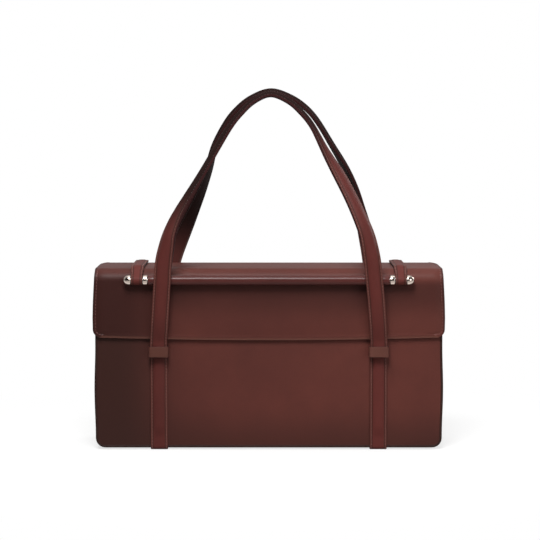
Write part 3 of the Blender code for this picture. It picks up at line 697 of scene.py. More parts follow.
def handle_rows(facing, legs, rise):
    """Points and turns along a handle, from one keeper over the arch to the other."""
    left, right = [], []
    for (up, out, back_in), (left_reach, right_reach, left_turn, right_turn) in zip(
            HANDLE_PROFILE, legs):
        forward = PIVOT_FORWARD + (HANDLE_BELLY - PIVOT_FORWARD) * out
        forward -= (HANDLE_BELLY - HANDLE_APEX_FORWARD) * back_in
        place = (facing * forward, PIVOT_HEIGHT + rise * up)
        left.append((-STRAP_X * left_reach, *place, left_turn))
        right.append((STRAP_X * right_reach, *place, right_turn))
    controls = np.array(left + right[-2::-1])
    first, last = controls[0], controls[-1]
    padded = np.vstack((2 * first - controls[1], controls, 2 * last - controls[-2]))
    curve = []
    for before, start, end, after in zip(padded, padded[1:], padded[2:], padded[3:]):
        for step in range(8):
            t = step / 8
            curve.append(0.5 * (
                2 * start + (end - before) * t
                + (2 * before - 5 * start + 4 * end - after) * t ** 2
                + (3 * start - before - 3 * end + after) * t ** 3))
    down = np.linspace(PIVOT_HEIGHT, KEEPER_LOW + 0.4 * MM, 8)[1:]
    head = [np.array((first[0], first[1], z, 0.0)) for z in reversed(down)]
    tail = [np.array((last[0], last[1], z, 0.0)) for z in down]
    return np.array(head + curve + [last] + tail)


def handle_path(facing, legs, rise):
    rows = handle_rows(facing, legs, rise)
    for _ in range(3):
        rows[1:-1] = (rows[:-2] + 2 * rows[1:-1] + rows[2:]) / 4
    ahead = unit(np.gradient(rows[:, :3], axis=0))
    outward = unit(np.stack((-ahead[:, 2], np.zeros(len(ahead)), ahead[:, 0]), axis=1))
    front = np.cross(ahead, outward) * -facing
    turned = np.radians(90.0) * rows[:, 3:4]
    normals = unit(front * np.cos(turned) + outward * np.sin(turned))
    return path_through(rows[:, :3], np.cross(normals, ahead), normals)


def note_grip(piece, facing):
    """Mark how far the leather is darkened on the legs' upper part and the arch: partly hand wear,
    partly painted shade, which starts lower on the back handle.
    """
    rows = points_of(piece)
    middle, slant = (225.0, 37.0) if facing < 0 else (174.0, 24.0)
    low = (middle + slant * np.clip(rows[:, 0] / (60.0 * MM), -1.0, 1.0)) * MM
    note(piece, "grip", 0.96 * eased(rows[:, 2] - low, 0.0, 66.0 * MM))


def fill_handle(strap, length, low, margin):
    """Flatten the crown under the keepers and pad the lining side above them."""
    rows = points_of(strap)
    to_end = np.minimum(rows[:, 0], length - rows[:, 0])
    full = eased(to_end, 18.0 * MM, 60.0 * MM)
    flat = CROWN_IN_KEEPER / HANDLE_CROWN
    scale_crown(rows, low + margin, flat + (1.0 - flat) * full)
    padding = np.cos(np.clip(np.abs(rows[:, 1]) / CROWN_HALF_WIDTH, 0.0, 1.0) * np.pi / 2)
    rows[:, 2] -= np.where(rows[:, 2] < low + 0.2 * MM, 0.6 * MM * padding * full, 0.0)
    move_points(strap, rows)


def make_handle(name, facing, legs, rise, body):
    path = handle_path(facing, legs, rise)
    length = length_of(path)
    low, margin = -STRAP_HALF_THICKNESS, 2.7 * MM
    strap = flat_strap(
        name, length, STRAP_WIDTH, margin, HANDLE_CROWN, CROWN_HALF_WIDTH, (11, 14), low)
    note_margin(strap, CROWN_HALF_WIDTH, STRAP_WIDTH / 2)
    fill_handle(strap, length, low, margin)
    stitching = stitch_rows(
        name, STRAP_SEAM, SEAM_START, length - SEAM_START, (low + margin, low))
    for piece, material, degrees in ((strap, strap_calf, 60.0), (stitching, thread, 80.0)):
        lay(piece, path)
        finish(piece, material, degrees)
        note_grip(piece, facing)
        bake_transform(piece)
    face = "front" if facing < 0 else "back"
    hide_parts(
        body + "_face", body + "_filler", body + "_lining",
        "left_" + face + "_handle_tail", "right_" + face + "_handle_tail")


def girth_points(x):
    """Inner line of a girth strap: down the front, under the bag and up the back."""
    forward, corner, low = GIRTH_FORWARD, 1.5 * MM, 1.4 * MM
    centre, bend = forward - corner, low + corner
    rows = run(side_point(x, forward, KEEPER_TOP), side_point(x, forward, bend), 60)
    rows += side_arc(x, centre, bend, corner, 0.0, -90.0, 8)[:-1]
    rows += run(side_point(x, centre, low), side_point(x, -centre, low), 30)
    rows += side_arc(x, -centre, bend, corner, -90.0, -180.0, 8)[:-1]
    rows += run(side_point(x, -forward, bend), side_point(x, -forward, KEEPER_TOP), 60)
    return rows + [side_point(x, -forward, KEEPER_TOP)]


def make_girth_strap(name, x, fillers):
    path = plane_path(girth_points(x), ACROSS)
    length = length_of(path)
    strap = flat_strap(
        name + "_leather", length, STRAP_WIDTH, GIRTH_MARGIN, GIRTH_CROWN, CROWN_HALF_WIDTH,
        (8, 12))
    note_margin(strap, CROWN_HALF_WIDTH, STRAP_WIDTH / 2)
    rows = points_of(strap)
    to_end = np.minimum(rows[:, 0], length - rows[:, 0])
    scale_crown(rows, GIRTH_MARGIN, 1.0 - eased(
        to_end, KEEPER_TOP - 24.0 * MM, KEEPER_TOP - 11.0 * MM))
    move_points(strap, rows)
    lay(strap, path)
    finish(strap, strap_calf, 60.0)
    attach(strap, "body")
    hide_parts(name, *fillers)
    stitching = stitch_rows(
        name, STRAP_SEAM, SEAM_START, length - SEAM_START, (GIRTH_MARGIN + THREAD_RISE,))
    lay(stitching, path)
    rows = points_of(stitching)
    rows[:, 2] = np.maximum(rows[:, 2], FLOOR_GAP)
    move_points(stitching, rows)
    finish(stitching, thread, 80.0)
    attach(stitching, "body")


def make_keeper(name, x, facing):
    """A loop of leather over the strap, from the body's face round to it again."""
    half, foot, corner = 8.9 * MM, 40.35 * MM, 1.5 * MM
    roof = PIVOT_FORWARD + STRAP_HALF_THICKNESS + 0.3 * MM + KEEPER_SKIN / 2
    out = Vector((0.0, facing, 0.0))

    def spot(across, forward):
        return Vector((x + across, facing * forward, 0.0))

    bend, flat = roof - corner, half - corner
    rows = run(spot(-half, foot), spot(-half, bend), 10)
    rows += arc_points(spot(-flat, bend), corner, 180.0, 90.0, 8, ACROSS, out)[:-1]
    rows += run(spot(-flat, roof), spot(flat, roof), 20)
    rows += arc_points(spot(flat, bend), corner, 90.0, 0.0, 8, ACROSS, out)[:-1]
    rows += run(spot(half, bend), spot(half, foot), 10) + [spot(half, foot)]
    path = plane_path(rows, UP, facing)
    height = KEEPER_TOP - KEEPER_LOW
    loop = flat_strap(
        name + "_leather", length_of(path), height, 0.95 * MM, 0.15 * MM,
        height / 2 - 1.6 * MM, (6, 5), -0.5 * MM, 0.3)
    rows = points_of(loop)
    note(loop, "edge", eased(np.abs(rows[:, 1]), height / 2 - 0.3 * MM, height / 2))
    lay(loop, path)
    rows = points_of(loop)
    rows[:, 2] += (KEEPER_LOW + KEEPER_TOP) / 2
    move_points(loop, rows)
    finish(loop, keeper_calf, 50.0)
    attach(loop, "body")
    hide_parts(name)


# Body


def half_width(height):
    share = np.clip((height - BULGE_LOW) / (BULGE_HIGH - BULGE_LOW), 0.0, 1.0)
    return BODY_BULGE * np.sin(np.pi * share) ** 2


def sag(rows, depth, pillow):
    """Swell the sides at mid height, pillow the faces between straps, dish the gussets."""
    x, y, z = rows[:, 0].copy(), rows[:, 1].copy(), rows[:, 2].copy()
    side = np.clip(np.abs(x) / BODY_HALF_WIDTH, 0.0, 1.0)
    rows[:, 0] += np.sign(x) * half_width(z) * side
    near_side = eased(np.abs(x), BODY_HALF_WIDTH - 12.0 * MM, BODY_HALF_WIDTH - 4.0 * MM)
    across = np.cos(np.clip(np.abs(y) / depth, 0.0, 1.0) * np.pi / 2) ** 2
    rows[:, 0] -= np.sign(x) * near_side * across * 3.0 * MM * eased(z, 50.0 * MM, SIDE_RIM)
    if pillow:
        inner, outer = STRAP_X - 10 * MM, STRAP_X + 10 * MM
        middle = np.cos(np.clip(np.abs(x) / inner, 0.0, 1.0) * np.pi / 2)
        bay = BODY_HALF_WIDTH - 3 * MM - outer
        ends = np.sin(np.clip((np.abs(x) - outer) / bay, 0.0, 1.0) * np.pi)
        share = np.where(np.abs(x) < STRAP_X, middle, 0.35 * ends)
        tall = np.sin(np.clip((z - 6 * MM) / (99 * MM), 0.0, 1.0) * np.pi) ** 0.8
        face = eased(np.abs(y), depth - 3.0 * MM, depth - 0.5 * MM)
        uneven = 1.0 + 0.25 * ripple(rows, 110.0 * MM, 7)
        rows[:, 1] += np.sign(y) * face * share * tall * uneven * pillow
    return rows


def open_box(name, half_x, half_y, low, top, corner, edge, heights, step):
    """A box with an open top, round lower corners and soft long edges, cut into patches."""
    piece = block(name, (-half_x, -half_y, low), (half_x, half_y, top))
    edit(piece)
    choose(piece, faces=lambda centre, normal: normal.z > 0.9)
    bpy.ops.mesh.delete(type="FACE")
    choose(piece, edges=lambda a, b: at(a.z, low) and at(b.z, low) and at(a.x, b.x))
    bevel(corner, 8)
    choose(piece, edges=lambda a, b: (
        at(abs(a.y), half_y) and at(a.y, b.y) and not (at(a.z, top) and at(b.z, top))))
    bevel(*edge)
    slice_across(Z, heights)
    slice_across(X, np.arange(-148, 149, step) * MM)
    slice_across(Y, np.arange(-30, 31, 7.5) * MM)
    return piece


def body_burnish(rows):
    """Painted shade: darker towards the bag's left end, a little towards its right end, and towards
    its foot.
    """
    left = 0.97 * (1.0 - eased(rows[:, 0] + BODY_HALF_WIDTH, 22 * MM, 94 * MM))
    right = 0.08 * eased(rows[:, 0], 120 * MM, 158 * MM)
    ends = np.maximum(left, right) * (1.0 - 0.75 * eased(rows[:, 1], -36 * MM, 30 * MM))
    foot = 0.62 * (1.0 - eased(rows[:, 2], 2 * MM, 50 * MM))
    return 1.0 - (1.0 - ends) * (1.0 - foot)


def make_shell():
    """The leather shell: faces, gussets and base, with a step round both faces for a welt."""
    shell = open_box(
        "bag_shell", BODY_HALF_WIDTH, HALF_DEPTH, BODY_UNDERSIDE, BACK_RIM, BODY_CORNER,
        (2.5 * MM, 1), np.concatenate((np.arange(16, 156, 8) * MM, [SIDE_RIM, FRONT_RIM])), 8)

    def above_rim(centre, normal):
        x, y, z = abs(centre.x), abs(centre.y), centre.z
        return (
            (z > FRONT_RIM and (centre.y < 30 * MM or y < HALF_DEPTH - 0.5 * MM))
            or (z > SIDE_RIM and x > BODY_HALF_WIDTH - 2 * MM and y < HALF_DEPTH - 3 * MM))

    choose(shell, faces=above_rim)
    bpy.ops.mesh.delete(type="FACE")
    clear_selection()
    move_points(shell, sag(points_of(shell), HALF_DEPTH, 1.3 * MM))
    finish_with(shell, "SOLIDIFY", thickness=PANEL_SKIN, offset=-1.0, use_even_offset=True)
    finish_with(
        shell, "BEVEL", width=0.45 * MM, segments=2, limit_method="ANGLE",
        angle_limit=math.radians(55.0), use_clamp_overlap=True)
    # Painted shade towards the left end and the foot.
    note(shell, "burnish", body_burnish(points_of(shell)))
    finish(shell, panel_calf, 35.0)
    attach(shell, "body")
    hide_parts("front_panel", "back_panel", "left_gusset", "right_gusset", "base_panel")


def make_lining():
    half_y = 36.6 * MM
    lining = open_box(
        "lining_sack", BODY_HALF_WIDTH - 3.3 * MM, half_y, 5.5 * MM, LINING_TOP, 8.1 * MM,
        (1.6 * MM, 2), np.arange(16, 156, 10) * MM, 12)
    clear_selection()
    rows = sag(points_of(lining), half_y, 0.0)
    slack = 0.5 * MM * (1.0 + ripple(rows, 45.0 * MM, 3)) * eased(rows[:, 2], 10 * MM, 40 * MM)
    slack *= 1.0 - eased(rows[:, 2], 130 * MM, 150 * MM)
    inner = eased(np.abs(rows[:, 1]), half_y - 2.0 * MM, half_y)
    rows[:, 1] -= np.sign(rows[:, 1]) * inner * np.clip(slack, 0.0, None)
    move_points(lining, rows)
    finish_with(lining, "SOLIDIFY", thickness=0.8 * MM, offset=-1.0, use_even_offset=True)
    finish(lining, lining_cloth, 35.0)
    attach(lining, "body")
    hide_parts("lining")


def welt_points(inset, facing, top):
    """Points along a welt: down the left side, round the corners and up the right."""
    low = BODY_UNDERSIDE + inset
    corner = BODY_CORNER - inset
    centre = BODY_HALF_WIDTH - BODY_CORNER
    left = [(-(BODY_HALF_WIDTH + half_width(z) - inset), z)
            for z in np.linspace(top, low + corner, 60)]
    left += corner_points(-centre, low + corner, corner, 180.0, 270.0, 14)
    right = [(-x, z) for x, z in reversed(left)]
    bottom = [(x, low) for x in np.linspace(-centre, centre, 90)[1:-1]]
    return [Vector((x, facing * 38.6 * MM, z)) for x, z in left + bottom + right]


def make_welt(name, facing):
    half, inset = 1.55 * MM, 1.35 * MM
    path = plane_path(welt_points(inset, facing, SIDE_RIM - 0.2 * MM), (0.0, facing, 0.0))
    bar = block(name + "_leather", (0.0, -half, -inset), (length_of(path), half, inset))
    edit(bar)
    choose(bar, edges=lengthwise)
    bevel(1.0 * MM, 3)
    cut_along(bar, (12, 18))
    lay(bar, path)
    finish(bar, welt_calf_painted_shade, 60.0)
    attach(bar, "body")
    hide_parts(name)


def make_facing(name, facing, top):
    """A strip of lining leather inside the mouth, turned over the wall's top edge."""
    inner, outer, radius = 34.9 * MM, 38.0 * MM, 1.55 * MM
    level = top - radius
    out = Vector((0.0, facing, 0.0))
    rows = run((0, facing * inner, FACING_LOW), (0, facing * inner, level), 16)
    rows += arc_points((0, facing * (inner + radius), level), radius, 180.0, 90.0, 8, out, UP)
    rows += run((0, facing * (inner + radius), top), (0, facing * outer, top), 4)[1:]
    rows.append(Vector((0, facing * outer, top)))
    path = plane_path(rows, ACROSS, -facing)
    length = length_of(path)
    half = (155.6 if facing < 0 else 159.4) * MM
    strip = block(name + "_leather", (0.0, -half, -0.55 * MM), (length, half, 0.55 * MM))
    edit(strip)
    choose(strip, edges=lambda a, b: at(a.z, b.z))
    bevel(0.3 * MM)
    slice_across(X, np.linspace(0.002, length - 0.001, 28))
    clear_selection()
    lay(strip, path)
    finish(strip, lining_calf, 50.0)
    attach(strip, "body")
    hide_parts(name)
    row = stitch_row(name + "_stitching", 0.0, 2 * half - 8 * MM, 0.0, 0.0)
    along, across, height = points_of(row).T
    move_points(row, np.stack((
        along - half + 4 * MM, facing * (inner - 0.58 * MM + height),
        FACING_LOW + 2.2 * MM + across), axis=1))
    finish(row, thread, 80.0)
    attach(row, "body")


# Flap


def flap_points():
    """Outer line of the flap in side view, from the seam on the back to the front edge."""
    back, fold, top = -FLAP_BACK, FLAP_FOLD, FLAP_TOP
    front, shoulder, low = FLAP_FRONT, FLAP_SHOULDER, FLAP_EDGE - PAST_EDGE
    rows = run(side_point(0, back, FLAP_BACK_SEAM), side_point(0, back, top - fold), 16)
    rows += side_arc(0, back + fold, top - fold, fold, 180.0, 90.0, 8)[:-1]
    rows += run(side_point(0, back + fold, top), side_point(0, front - shoulder, top), 40)
    rows += side_arc(0, front - shoulder, top - shoulder, shoulder, 90.0, 0.0, 24)[:-1]
    rows += run(side_point(0, front, top - shoulder), side_point(0, front, low), 60)
    return rows + [side_point(0, front, low)]


# Half the flap's width at distances along it: round at the back corners, widest at its edge
FLAP_WIDTHS = np.array((
    (0.0, 161.5), (12.0, 161.3), (19.0, 160.0), (22.0, 159.2), (25.0, 160.6), (29.0, 162.4),
    (35.0, 163.8), (45.0, 164.5), (100.0, 164.6), (112.0, 165.1), (122.0, 165.7), (132.0, 166.2),
    (146.0, 166.6), (158.0, 166.4),
)) * MM

FLAP_PATH = plane_path(flap_points(), ACROSS)
FLAP_LENGTH = length_of(FLAP_PATH) - PAST_EDGE
FLAP_CUTS = np.concatenate((
    np.linspace(3, 18, 5), np.linspace(19, 25, 10), np.linspace(30, 85, 9),
    np.linspace(88, 112, 18), np.linspace(115, 158, 12))) * MM


def shape_flap(rows):
    """Widen and bow a flat flap piece that was cut as a rectangle."""
    along = rows[:, 0].copy()
    share = rows[:, 1] / FLAP_BOTTOM_HALF_WIDTH
    rows[:, 1] = share * np.interp(along, *FLAP_WIDTHS.T)
    low = eased(along, FLAP_LENGTH - 50 * MM, FLAP_LENGTH)
    rows[:, 0] += FLAP_BOW * (1.0 - share ** 2) * low
    return rows


def swell_flap(rows, along):
    """Soft fullness of the leather over its board, outwards only."""
    share = np.clip(np.abs(rows[:, 0]) / FLAP_BOTTOM_HALF_WIDTH, 0.0, 1.0)
    front = eased(along, 112 * MM, 130 * MM) * (1.0 - eased(along, 150 * MM, FLAP_LENGTH))
    uneven = 0.5 + 0.5 * ripple(np.stack((rows[:, 0], along, along * 0), axis=1), 120 * MM, 11)
    rows[:, 1] -= (0.25 + 0.55 * uneven) * MM * front * (1.0 - share ** 4)
    top = eased(along, 26 * MM, 40 * MM) * (1.0 - eased(along, 80 * MM, 92 * MM))
    rows[:, 2] += 0.35 * MM * top * (0.5 + 0.5 * ripple(rows, 90 * MM, 5)) * (1.0 - share ** 4)
    return rows


def flap_sheet(name, start, inset, high, low, roundness, pocket=0.0):
    """A flat flap layer: round front corners, soft edges and, at need, a turned-in rim."""
    half = FLAP_BOTTOM_HALF_WIDTH - inset
    end = FLAP_LENGTH - inset
    corner = FLAP_CORNER - inset
    sheet = block(name, (start, -half, low), (end, half, high))
    edit(sheet)
    choose(sheet, edges=lambda a, b: not at(a.z, b.z) and at(a.x, end))
    bevel(corner, 8)
    if pocket:
        choose(sheet, faces=lambda centre, normal: normal.z < -0.9)
        bpy.ops.mesh.inset(thickness=1.8 * MM, depth=0.0)
        bpy.ops.transform.translate(value=(0.0, 0.0, pocket))

    def on_outline(p):
        from_x, from_y = p.x - (end - corner), abs(p.y) - (half - corner)
        round_corner = (
            min(from_x, from_y) > 0.0 and abs(math.hypot(from_x, from_y) - corner) < 0.2 * MM)
        near = min(abs(p.x - start), abs(p.x - end), abs(abs(p.y) - half))
        return near < 1e-5 or round_corner

    choose(sheet, edges=lambda a, b: (
        at(a.z, b.z) and (at(a.z, high) or at(a.z, low)) and on_outline(a) and on_outline(b)))
    bevel(roundness, 3)
    if pocket:
        choose(sheet, faces=lambda centre, normal: normal.z > 0.9 and abs(centre.y) < half / 2)
        for thickness, depth in ((2.4, 0.0), (0.35, -0.16), (0.35, 0.16)):
            bpy.ops.mesh.inset(thickness=thickness * MM, depth=depth * MM)
    slice_across(X, [cut for cut in FLAP_CUTS if start + 4 * MM < cut < end - 1 * MM])
    slice_across(Y, np.arange(-156, 157, 12) * MM)
    clear_selection()
    return sheet


def flap_burnish(rows):
    """Painted shade towards the flap's left end, and painted shadows of the bar and of the handles
    on its front.
    """
    from_left = rows[:, 1] + FLAP_BOTTOM_HALF_WIDTH
    left = 0.95 * (1.0 - eased(from_left, 25 * MM, 100 * MM))
    right = 0.10 * eased(from_left, 270 * MM, 320 * MM)
    # Painted shadow of the bar on the flap's front.
    below_bar = 0.62 * eased(rows[:, 0], 108 * MM, 116 * MM)
    below_bar *= 1.0 - 0.9 * eased(rows[:, 0], 124 * MM, 152 * MM)
    on_front = eased(rows[:, 0], 100 * MM, 112 * MM)
    # Painted shadows of the handles on the flap's front.
    beside_handles = 0.55 * np.exp(-((np.abs(rows[:, 1]) - 94 * MM) / (17 * MM)) ** 2)
    beside_handles *= on_front * (1.0 - eased(rows[:, 0], 122 * MM, 146 * MM))
    on_top = 0.30 * eased(rows[:, 0], 35 * MM, 95 * MM)
    shade = np.maximum(np.maximum(left, right) * (0.15 + on_top + 0.55 * on_front), below_bar)
    return 1.0 - (1.0 - shade) * (1.0 - beside_handles)


def lay_flap(sheet):
    """Note the marks of the flat sheet and shape, lay and swell it."""
    rows = points_of(sheet)
    to_side, to_end = FLAP_BOTTOM_HALF_WIDTH - np.abs(rows[:, 1]), FLAP_LENGTH - rows[:, 0]
    # Painted highlight along the flap's front edge.
    note(sheet, "edge", 0.8 * (1.0 - eased(to_end, 0.1 * MM, 1.0 * MM)))
    note(sheet, "margin", 0.75 * (1.0 - eased(to_side, 0.6 * MM, 1.9 * MM)))
    # Painted shade and painted shadows on the flap.
    note(sheet, "burnish", flap_burnish(rows))
    pulled = np.hypot((rows[:, 0] - 78 * MM) / 34, (rows[:, 1] + 80 * MM) / 26) / MM
    note(sheet, "pulled", 1.0 - eased(pulled, 0.3, 1.0))
    lay_swollen(sheet)
    face_outwards(sheet)
    smooth(sheet)


def lay_swollen(piece):
    rows = shape_flap(points_of(piece))
    along = rows[:, 0].copy()
    move_points(piece, rows)
    lay(piece, FLAP_PATH)
    move_points(piece, swell_flap(points_of(piece), along))


def split_sheet(sheet, name, keep_front):
    """One side of the sheet, cut square across it."""
    part = sheet.copy()
    part.data = sheet.data.copy()
    bpy.context.scene.collection.objects.link(part)
    edit(rename(part, name))
    bpy.ops.mesh.select_all(action="SELECT")
    bpy.ops.mesh.bisect(
        plane_co=(0.0, FLAP_SPLIT, 0.0), plane_no=(0.0, 1.0, 0.0), use_fill=True,
        clear_outer=keep_front, clear_inner=not keep_front, threshold=1e-7)
    clear_selection()
    smooth(part)
    dress(part, flap_calf)
    return part


def make_flap():
    sheet = flap_sheet("flap_sheet", 0.0, 0.0, 0.0, -FLAP_THICKNESS, 1.0 * MM, 2.0 * MM)
    rows = points_of(sheet)
    full = eased(rows[:, 0], 20 * MM, 32 * MM)
    skived = np.maximum(rows[:, 2], -0.9 * MM - 2.4 * MM * full)
    rows[:, 2] = np.where(rows[:, 2] < 0.0, skived, rows[:, 2])
    move_points(sheet, rows)
    lay_flap(sheet)
    back = split_sheet(sheet, "flap_back_leather", False)
    front = split_sheet(sheet, "flap_leather", True)
    bpy.data.objects.remove(sheet, do_unlink=True)
    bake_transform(back)
    blend_at_crease(front)
    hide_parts("flap_top_leather", "flap_front_leather")

    lining = flap_sheet("flap_lining", 26.0 * MM, 2.1 * MM, -2.6 * MM, -FLAP_THICKNESS, 0.2 * MM)
    move_points(lining, shape_flap(points_of(lining)))
    lay(lining, FLAP_PATH)
    finish(lining, lining_calf)
    blend_at_crease(lining)
    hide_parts("flap_top_lining", "flap_front_lining")

    outline = outline_path(2.75 * MM, 24.0 * MM)
    row = stitch_row("flap_stitching", 0.0, length_of(outline), 0.0, -0.10 * MM)
    lay(row, outline)
    lay_swollen(row)
    finish(row, thread, 80.0)
    blend_at_crease(row)


def blend_at_crease(piece):
    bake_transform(piece)


def outline_path(inset, start):
    """The stitching's line on the flat flap: down one side, along the edge, up the other."""
    half = FLAP_BOTTOM_HALF_WIDTH - inset
    end = FLAP_LENGTH - inset
    corner = FLAP_CORNER - inset
    side = end - corner
    rows = [(x, -half) for x in np.linspace(start, side, 60)]
    rows += corner_points(side, corner - half, corner, -90.0, 0.0, 10)
    rows += [(end, y) for y in np.linspace(corner - half, half - corner, 120)[1:]]
    rows += corner_points(side, half - corner, corner, 0.0, 90.0, 10)
    rows += [(x, half) for x in np.linspace(side, start, 60)[1:]]
    points = np.array([(x, y, 0.0) for x, y in rows])
    normals = np.repeat(np.array([[0.0, 0.0, 1.0]]), len(points), axis=0)
    return path_through(
        points, np.cross(normals, unit(np.gradient(points, axis=0))), normals)


# Cross bar and tabs


def tab_points(x):
    """Inner line of a tab: along the flap, off its shoulder and round the bar's core."""
    shoulder = Vector((FLAP_FRONT - FLAP_SHOULDER, FLAP_TOP - FLAP_SHOULDER))
    to_bar = Vector((BAR_FORWARD, BAR_HEIGHT)) - shoulder
    outer = FLAP_SHOULDER + TAB_GAP
    tangent = math.degrees(
        math.atan2(to_bar.y, to_bar.x) + math.acos((outer - BORE_RADIUS) / to_bar.length))
    level = FLAP_TOP + TAB_GAP
    rows = run(side_point(x, -36.0 * MM, level), side_point(x, shoulder.x, level), 24)
    rows += side_arc(x, shoulder.x, shoulder.y, outer, 90.0, tangent, 12)
    rows += side_arc(
        x, BAR_FORWARD, BAR_HEIGHT, BORE_RADIUS, tangent, tangent - TAB_WRAP, 40)
    return rows


def tab_spread(along, loop_start):
    """How much wider the tab is on the flap than where it goes round the bar."""
    return 1.0 + 0.14 * (1.0 - eased(along, loop_start - 16 * MM, loop_start - 4 * MM))


def make_tab(name, x):
    path = plane_path(tab_points(x), ACROSS)
    length = length_of(path)
    margin, crown_half = 2.2 * MM, 3.2 * MM
    tab = flat_strap(
        name + "_leather", length, TAB_WIDTH, margin, 0.5 * MM, crown_half, (7, 12), 0.0, 0.35,
        0.5)
    note_margin(tab, crown_half, TAB_WIDTH / 2)
    loop_start = length - math.radians(TAB_WRAP) * BORE_RADIUS
    rows = points_of(tab)
    fade = eased(rows[:, 0], loop_start - 9 * MM, loop_start + 1 * MM)
    scale_crown(rows, margin, 1.0 - 0.7 * fade)
    rows[:, 2] -= 0.6 * MM * fade * eased(rows[:, 2], 0.5 * MM, 1.5 * MM)
    move_points(tab, rows)
    stitching = stitch_rows(
        name, TAB_WIDTH / 2 - 1.4 * MM, 2 * MM, loop_start - 2 * MM, (margin + THREAD_RISE,),
        2.6 * MM)
    for piece, material, degrees in ((tab, strap_calf, 60.0), (stitching, thread, 80.0)):
        rows = points_of(piece)
        rows[:, 1] *= tab_spread(rows[:, 0], loop_start)
        move_points(piece, rows)
        lay(piece, path)
        finish(piece, material, degrees)
        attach(piece, "flap")
    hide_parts(name)


def bar_point(x):
    return Vector((x, -BAR_FORWARD, BAR_HEIGHT))


def along_bar(name, start, end, radius, sides):
    """A cylinder along the bar, in edit mode."""
    clear_selection()
    bpy.ops.mesh.primitive_cylinder_add(
        vertices=sides, radius=radius, depth=abs(end - start),
        location=bar_point((start + end) / 2), rotation=(0.0, math.radians(90.0), 0.0))
    piece = named(name)
    edit(piece)
    return piece


def make_sleeve():
    half = 113.6 * MM
    sleeve = along_bar("bar_leather", -half, half, BAR_RADIUS, 48)
    choose(sleeve, edges=lambda a, b: at(a.x, b.x) and at(abs(a.x), half))
    bevel(0.7 * MM, 3)
    slice_across(X, np.arange(-108, 109, 6) * MM)
    clear_selection()
    rows = points_of(sleeve)
    around = rows - np.array(bar_point(0.0))
    around[:, 0] = 0.0
    rows += unit(around + 1e-9) * (0.06 * MM * ripple(rows, 26 * MM, 9))[:, None] * (
        np.abs(rows[:, 0:1]) < half - 2 * MM)
    move_points(sleeve, rows)
    finish(sleeve, bar_calf)
    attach(sleeve, "bar")
    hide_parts("bar_sleeve")


def make_ferrule(name, side):
    ring = along_bar(name + "_metal", side * 113.9 * MM, side * 118.5 * MM, METAL_RADIUS, 64)
    choose(ring, edges=lambda a, b: at(a.x, b.x))
    bevel(0.8 * MM, 4)
    clear_selection()
    finish(ring, polished_metal)
    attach(ring, "bar")
    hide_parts(name)


def make_cap(name, side):
    """A cap with a short collar and a nose drawn out in steps."""
    near, collar, nose = 129.9 * MM, 131.4 * MM, 137.1 * MM
    cap = along_bar(name + "_metal", side * near, side * collar, METAL_RADIUS, 64)
    last, width = side * collar, 1.0
    choose(cap, faces=lambda centre, normal: normal.x * side > 0.9)
    for angle in np.radians(90.0 * np.arange(1, 11) / 10):
        reach = side * (collar + (nose - collar) * math.sin(angle))
        narrow = max(math.cos(angle), 0.02)
        bpy.ops.mesh.extrude_region_move(
            TRANSFORM_OT_translate={"value": (reach - last, 0.0, 0.0)})
        bpy.ops.transform.resize(
            value=(1.0, narrow / width, narrow / width), center_override=bar_point(reach))
        last, width = reach, narrow
    choose(cap, edges=lambda a, b: at(a.x, b.x) and at(abs(a.x), near))
    bevel(0.5 * MM, 3)
    clear_selection()
    finish(cap, polished_metal)
    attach(cap, "bar")
    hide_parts(name)


def dress_solids():
    """Finishes of the inner solids that stay as they are."""
    for name in ("front_board", "back_board", "base_board", "flap_top_board", "flap_front_board"):
        dress(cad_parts[name], fibreboard)
    for name in ("body_magnet", "flap_magnet", "bar_core"):
        dress(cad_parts[name], plain_steel)


# Room, light and camera

FLOOR_BOUNCE = (0.34, 0.33, 0.32)
ROOM_LEVEL = 0.40
ROOM_SHINE = 0.60
ROOM_DIM = 0.05
CAMERA_DISTANCE = 1.9

# Name, place, target height, size and power
LIGHTS = (
    ("key", (-0.12, -0.90, 1.22), 0.12, 0.6, 26.0),
    ("fill", (0.90, -1.20, 0.55), 0.20, 0.7, 6.0),
    ("top", (0.0, 0.15, 1.70), 0.10, 1.2, 5.4),
    ("behind", (1.30, 0.85, 0.70), 0.15, 0.8, 9.0))


def make_floor():
    """A white floor that keeps the bag's soft shadow and runs out into white."""
    clear_selection()
    bpy.ops.mesh.primitive_plane_add(size=12.0, location=(0.0, 0.0, 0.0))
    floor = named("floor")
    material, tree, shader = nodes_of("floor_white")
    far = add_node(tree, "ShaderNodeVectorMath", {0: object_place(tree)}, operation="LENGTH")
    white = between(tree, far.outputs["Value"], 0.18, 0.42, 0.70, 1.0)
    place = add_node(tree, "ShaderNodeSeparateXYZ", {0: object_place(tree)})
    near = between(tree, place.outputs["Y"], -0.24, -0.10, 0.10, 1.0)
    ray = add_node(tree, "ShaderNodeLightPath")
    polished = math_node(tree, "MULTIPLY", ray.outputs["Is Glossy Ray"], near)
    seen = math_node(tree, "MAXIMUM", ray.outputs["Is Camera Ray"], polished)
    fill_in(tree, shader, {
        "Base Color": mix_color(tree, seen, FLOOR_BOUNCE, (0.90, 0.90, 0.90)),
        "Roughness": 0.9, "Specular IOR Level": 0.1})
    glow = add_node(tree, "ShaderNodeEmission")
    blend = add_node(tree, "ShaderNodeMixShader", {
        0: math_node(tree, "MULTIPLY", seen, white), 1: shader.outputs[0], 2: glow.outputs[0]})
    fill_in(tree, tree.nodes["Material Output"], {"Surface": blend.outputs[0]})
    floor.data.materials.append(material)


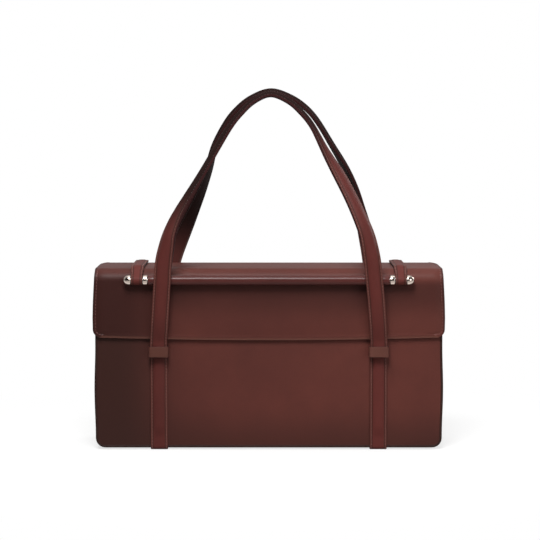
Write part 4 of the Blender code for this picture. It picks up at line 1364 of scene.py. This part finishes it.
def make_surroundings():
    """White paper behind the bag and above it; the room in front is dim."""
    world = bpy.data.worlds.new("studio")
    bpy.context.scene.world = world
    world.use_nodes = True
    tree = world.node_tree
    around = add_node(tree, "ShaderNodeTexCoord").outputs["Generated"]
    direction = add_node(tree, "ShaderNodeSeparateXYZ", {0: around})
    paper = between(tree, direction.outputs["Y"], -0.50, 0.40, ROOM_DIM, 1.0)
    ray = add_node(tree, "ShaderNodeLightPath")
    level = between(tree, ray.outputs["Is Glossy Ray"], 0.0, 1.0, ROOM_LEVEL, ROOM_SHINE)
    lit = math_node(
        tree, "MAXIMUM", math_node(tree, "MULTIPLY", paper, level), ray.outputs["Is Camera Ray"])
    fill_in(tree, tree.nodes["Background"], {"Color": (1.0, 1.0, 1.0), "Strength": lit})


def area_light(name, place, aim, size, power):
    data = bpy.data.lights.new(name, "AREA")
    data.shape = "RECTANGLE"
    data.size = data.size_y = size
    data.energy = power
    light = bpy.data.objects.new(name, data)
    light.location = place
    way = Vector((0.0, 0.0, aim)) - Vector(place)
    light.rotation_euler = way.to_track_quat("-Z", "Y").to_euler()
    bpy.context.scene.collection.objects.link(light)


def make_camera():
    """The camera that was fitted to the picture; its size and centre are in pixels."""
    elevation = math.radians(4.5)
    data = bpy.data.cameras.new("camera")
    camera = bpy.data.objects.new("camera", data)
    back = Vector((0.0, -math.cos(elevation), math.sin(elevation)))
    camera.location = Vector((0.0, 0.0, 0.172)) + back * CAMERA_DISTANCE
    camera.rotation_euler = (-back).to_track_quat("-Z", "Y").to_euler()
    size, focal_length, centre_x, centre_y = 540.0, 1970.0, 268.8, 265.8
    data.sensor_width = 36.0
    data.lens = 36.0 * focal_length / size
    data.shift_x = (size / 2 - centre_x) / size
    data.shift_y = (centre_y - size / 2) / size
    data.clip_start, data.clip_end = 0.05, 50.0
    bpy.context.scene.collection.objects.link(camera)
    bpy.context.scene.camera = camera


def build():
    make_shell()
    make_lining()
    make_welt("front_welt", -1.0)
    make_welt("back_welt", 1.0)
    make_facing("front_facing", -1.0, FRONT_RIM - 0.4 * MM)
    make_facing("back_facing", 1.0, BACK_RIM + 0.4 * MM)
    for side_name, side in (("left", -1.0), ("right", 1.0)):
        x = side * STRAP_X
        make_girth_strap(side_name + "_girth_strap", x, (
            side_name + "_front_girth_filler", side_name + "_back_girth_filler"))
        make_keeper(side_name + "_front_keeper", x, -1.0)
        make_keeper(side_name + "_back_keeper", x, 1.0)
        make_tab(side_name + "_tab", side * TAB_X)
        make_ferrule(side_name + "_ferrule", side)
        make_cap(side_name + "_end_cap", side)
    make_sleeve()
    make_flap()
    make_handle("front_handle_strap", -1.0, FRONT_HANDLE_LEGS, HANDLE_RISE, "front_handle")
    make_handle(
        "back_handle_strap", 1.0, BACK_HANDLE_LEGS, HANDLE_RISE + BACK_HANDLE_EXTRA_RISE,
        "back_handle")
    dress_solids()
    make_floor()
    make_surroundings()
    for light in LIGHTS:
        area_light(*light)
    make_camera()
    bpy.context.scene.view_settings.view_transform = "Standard"


build()
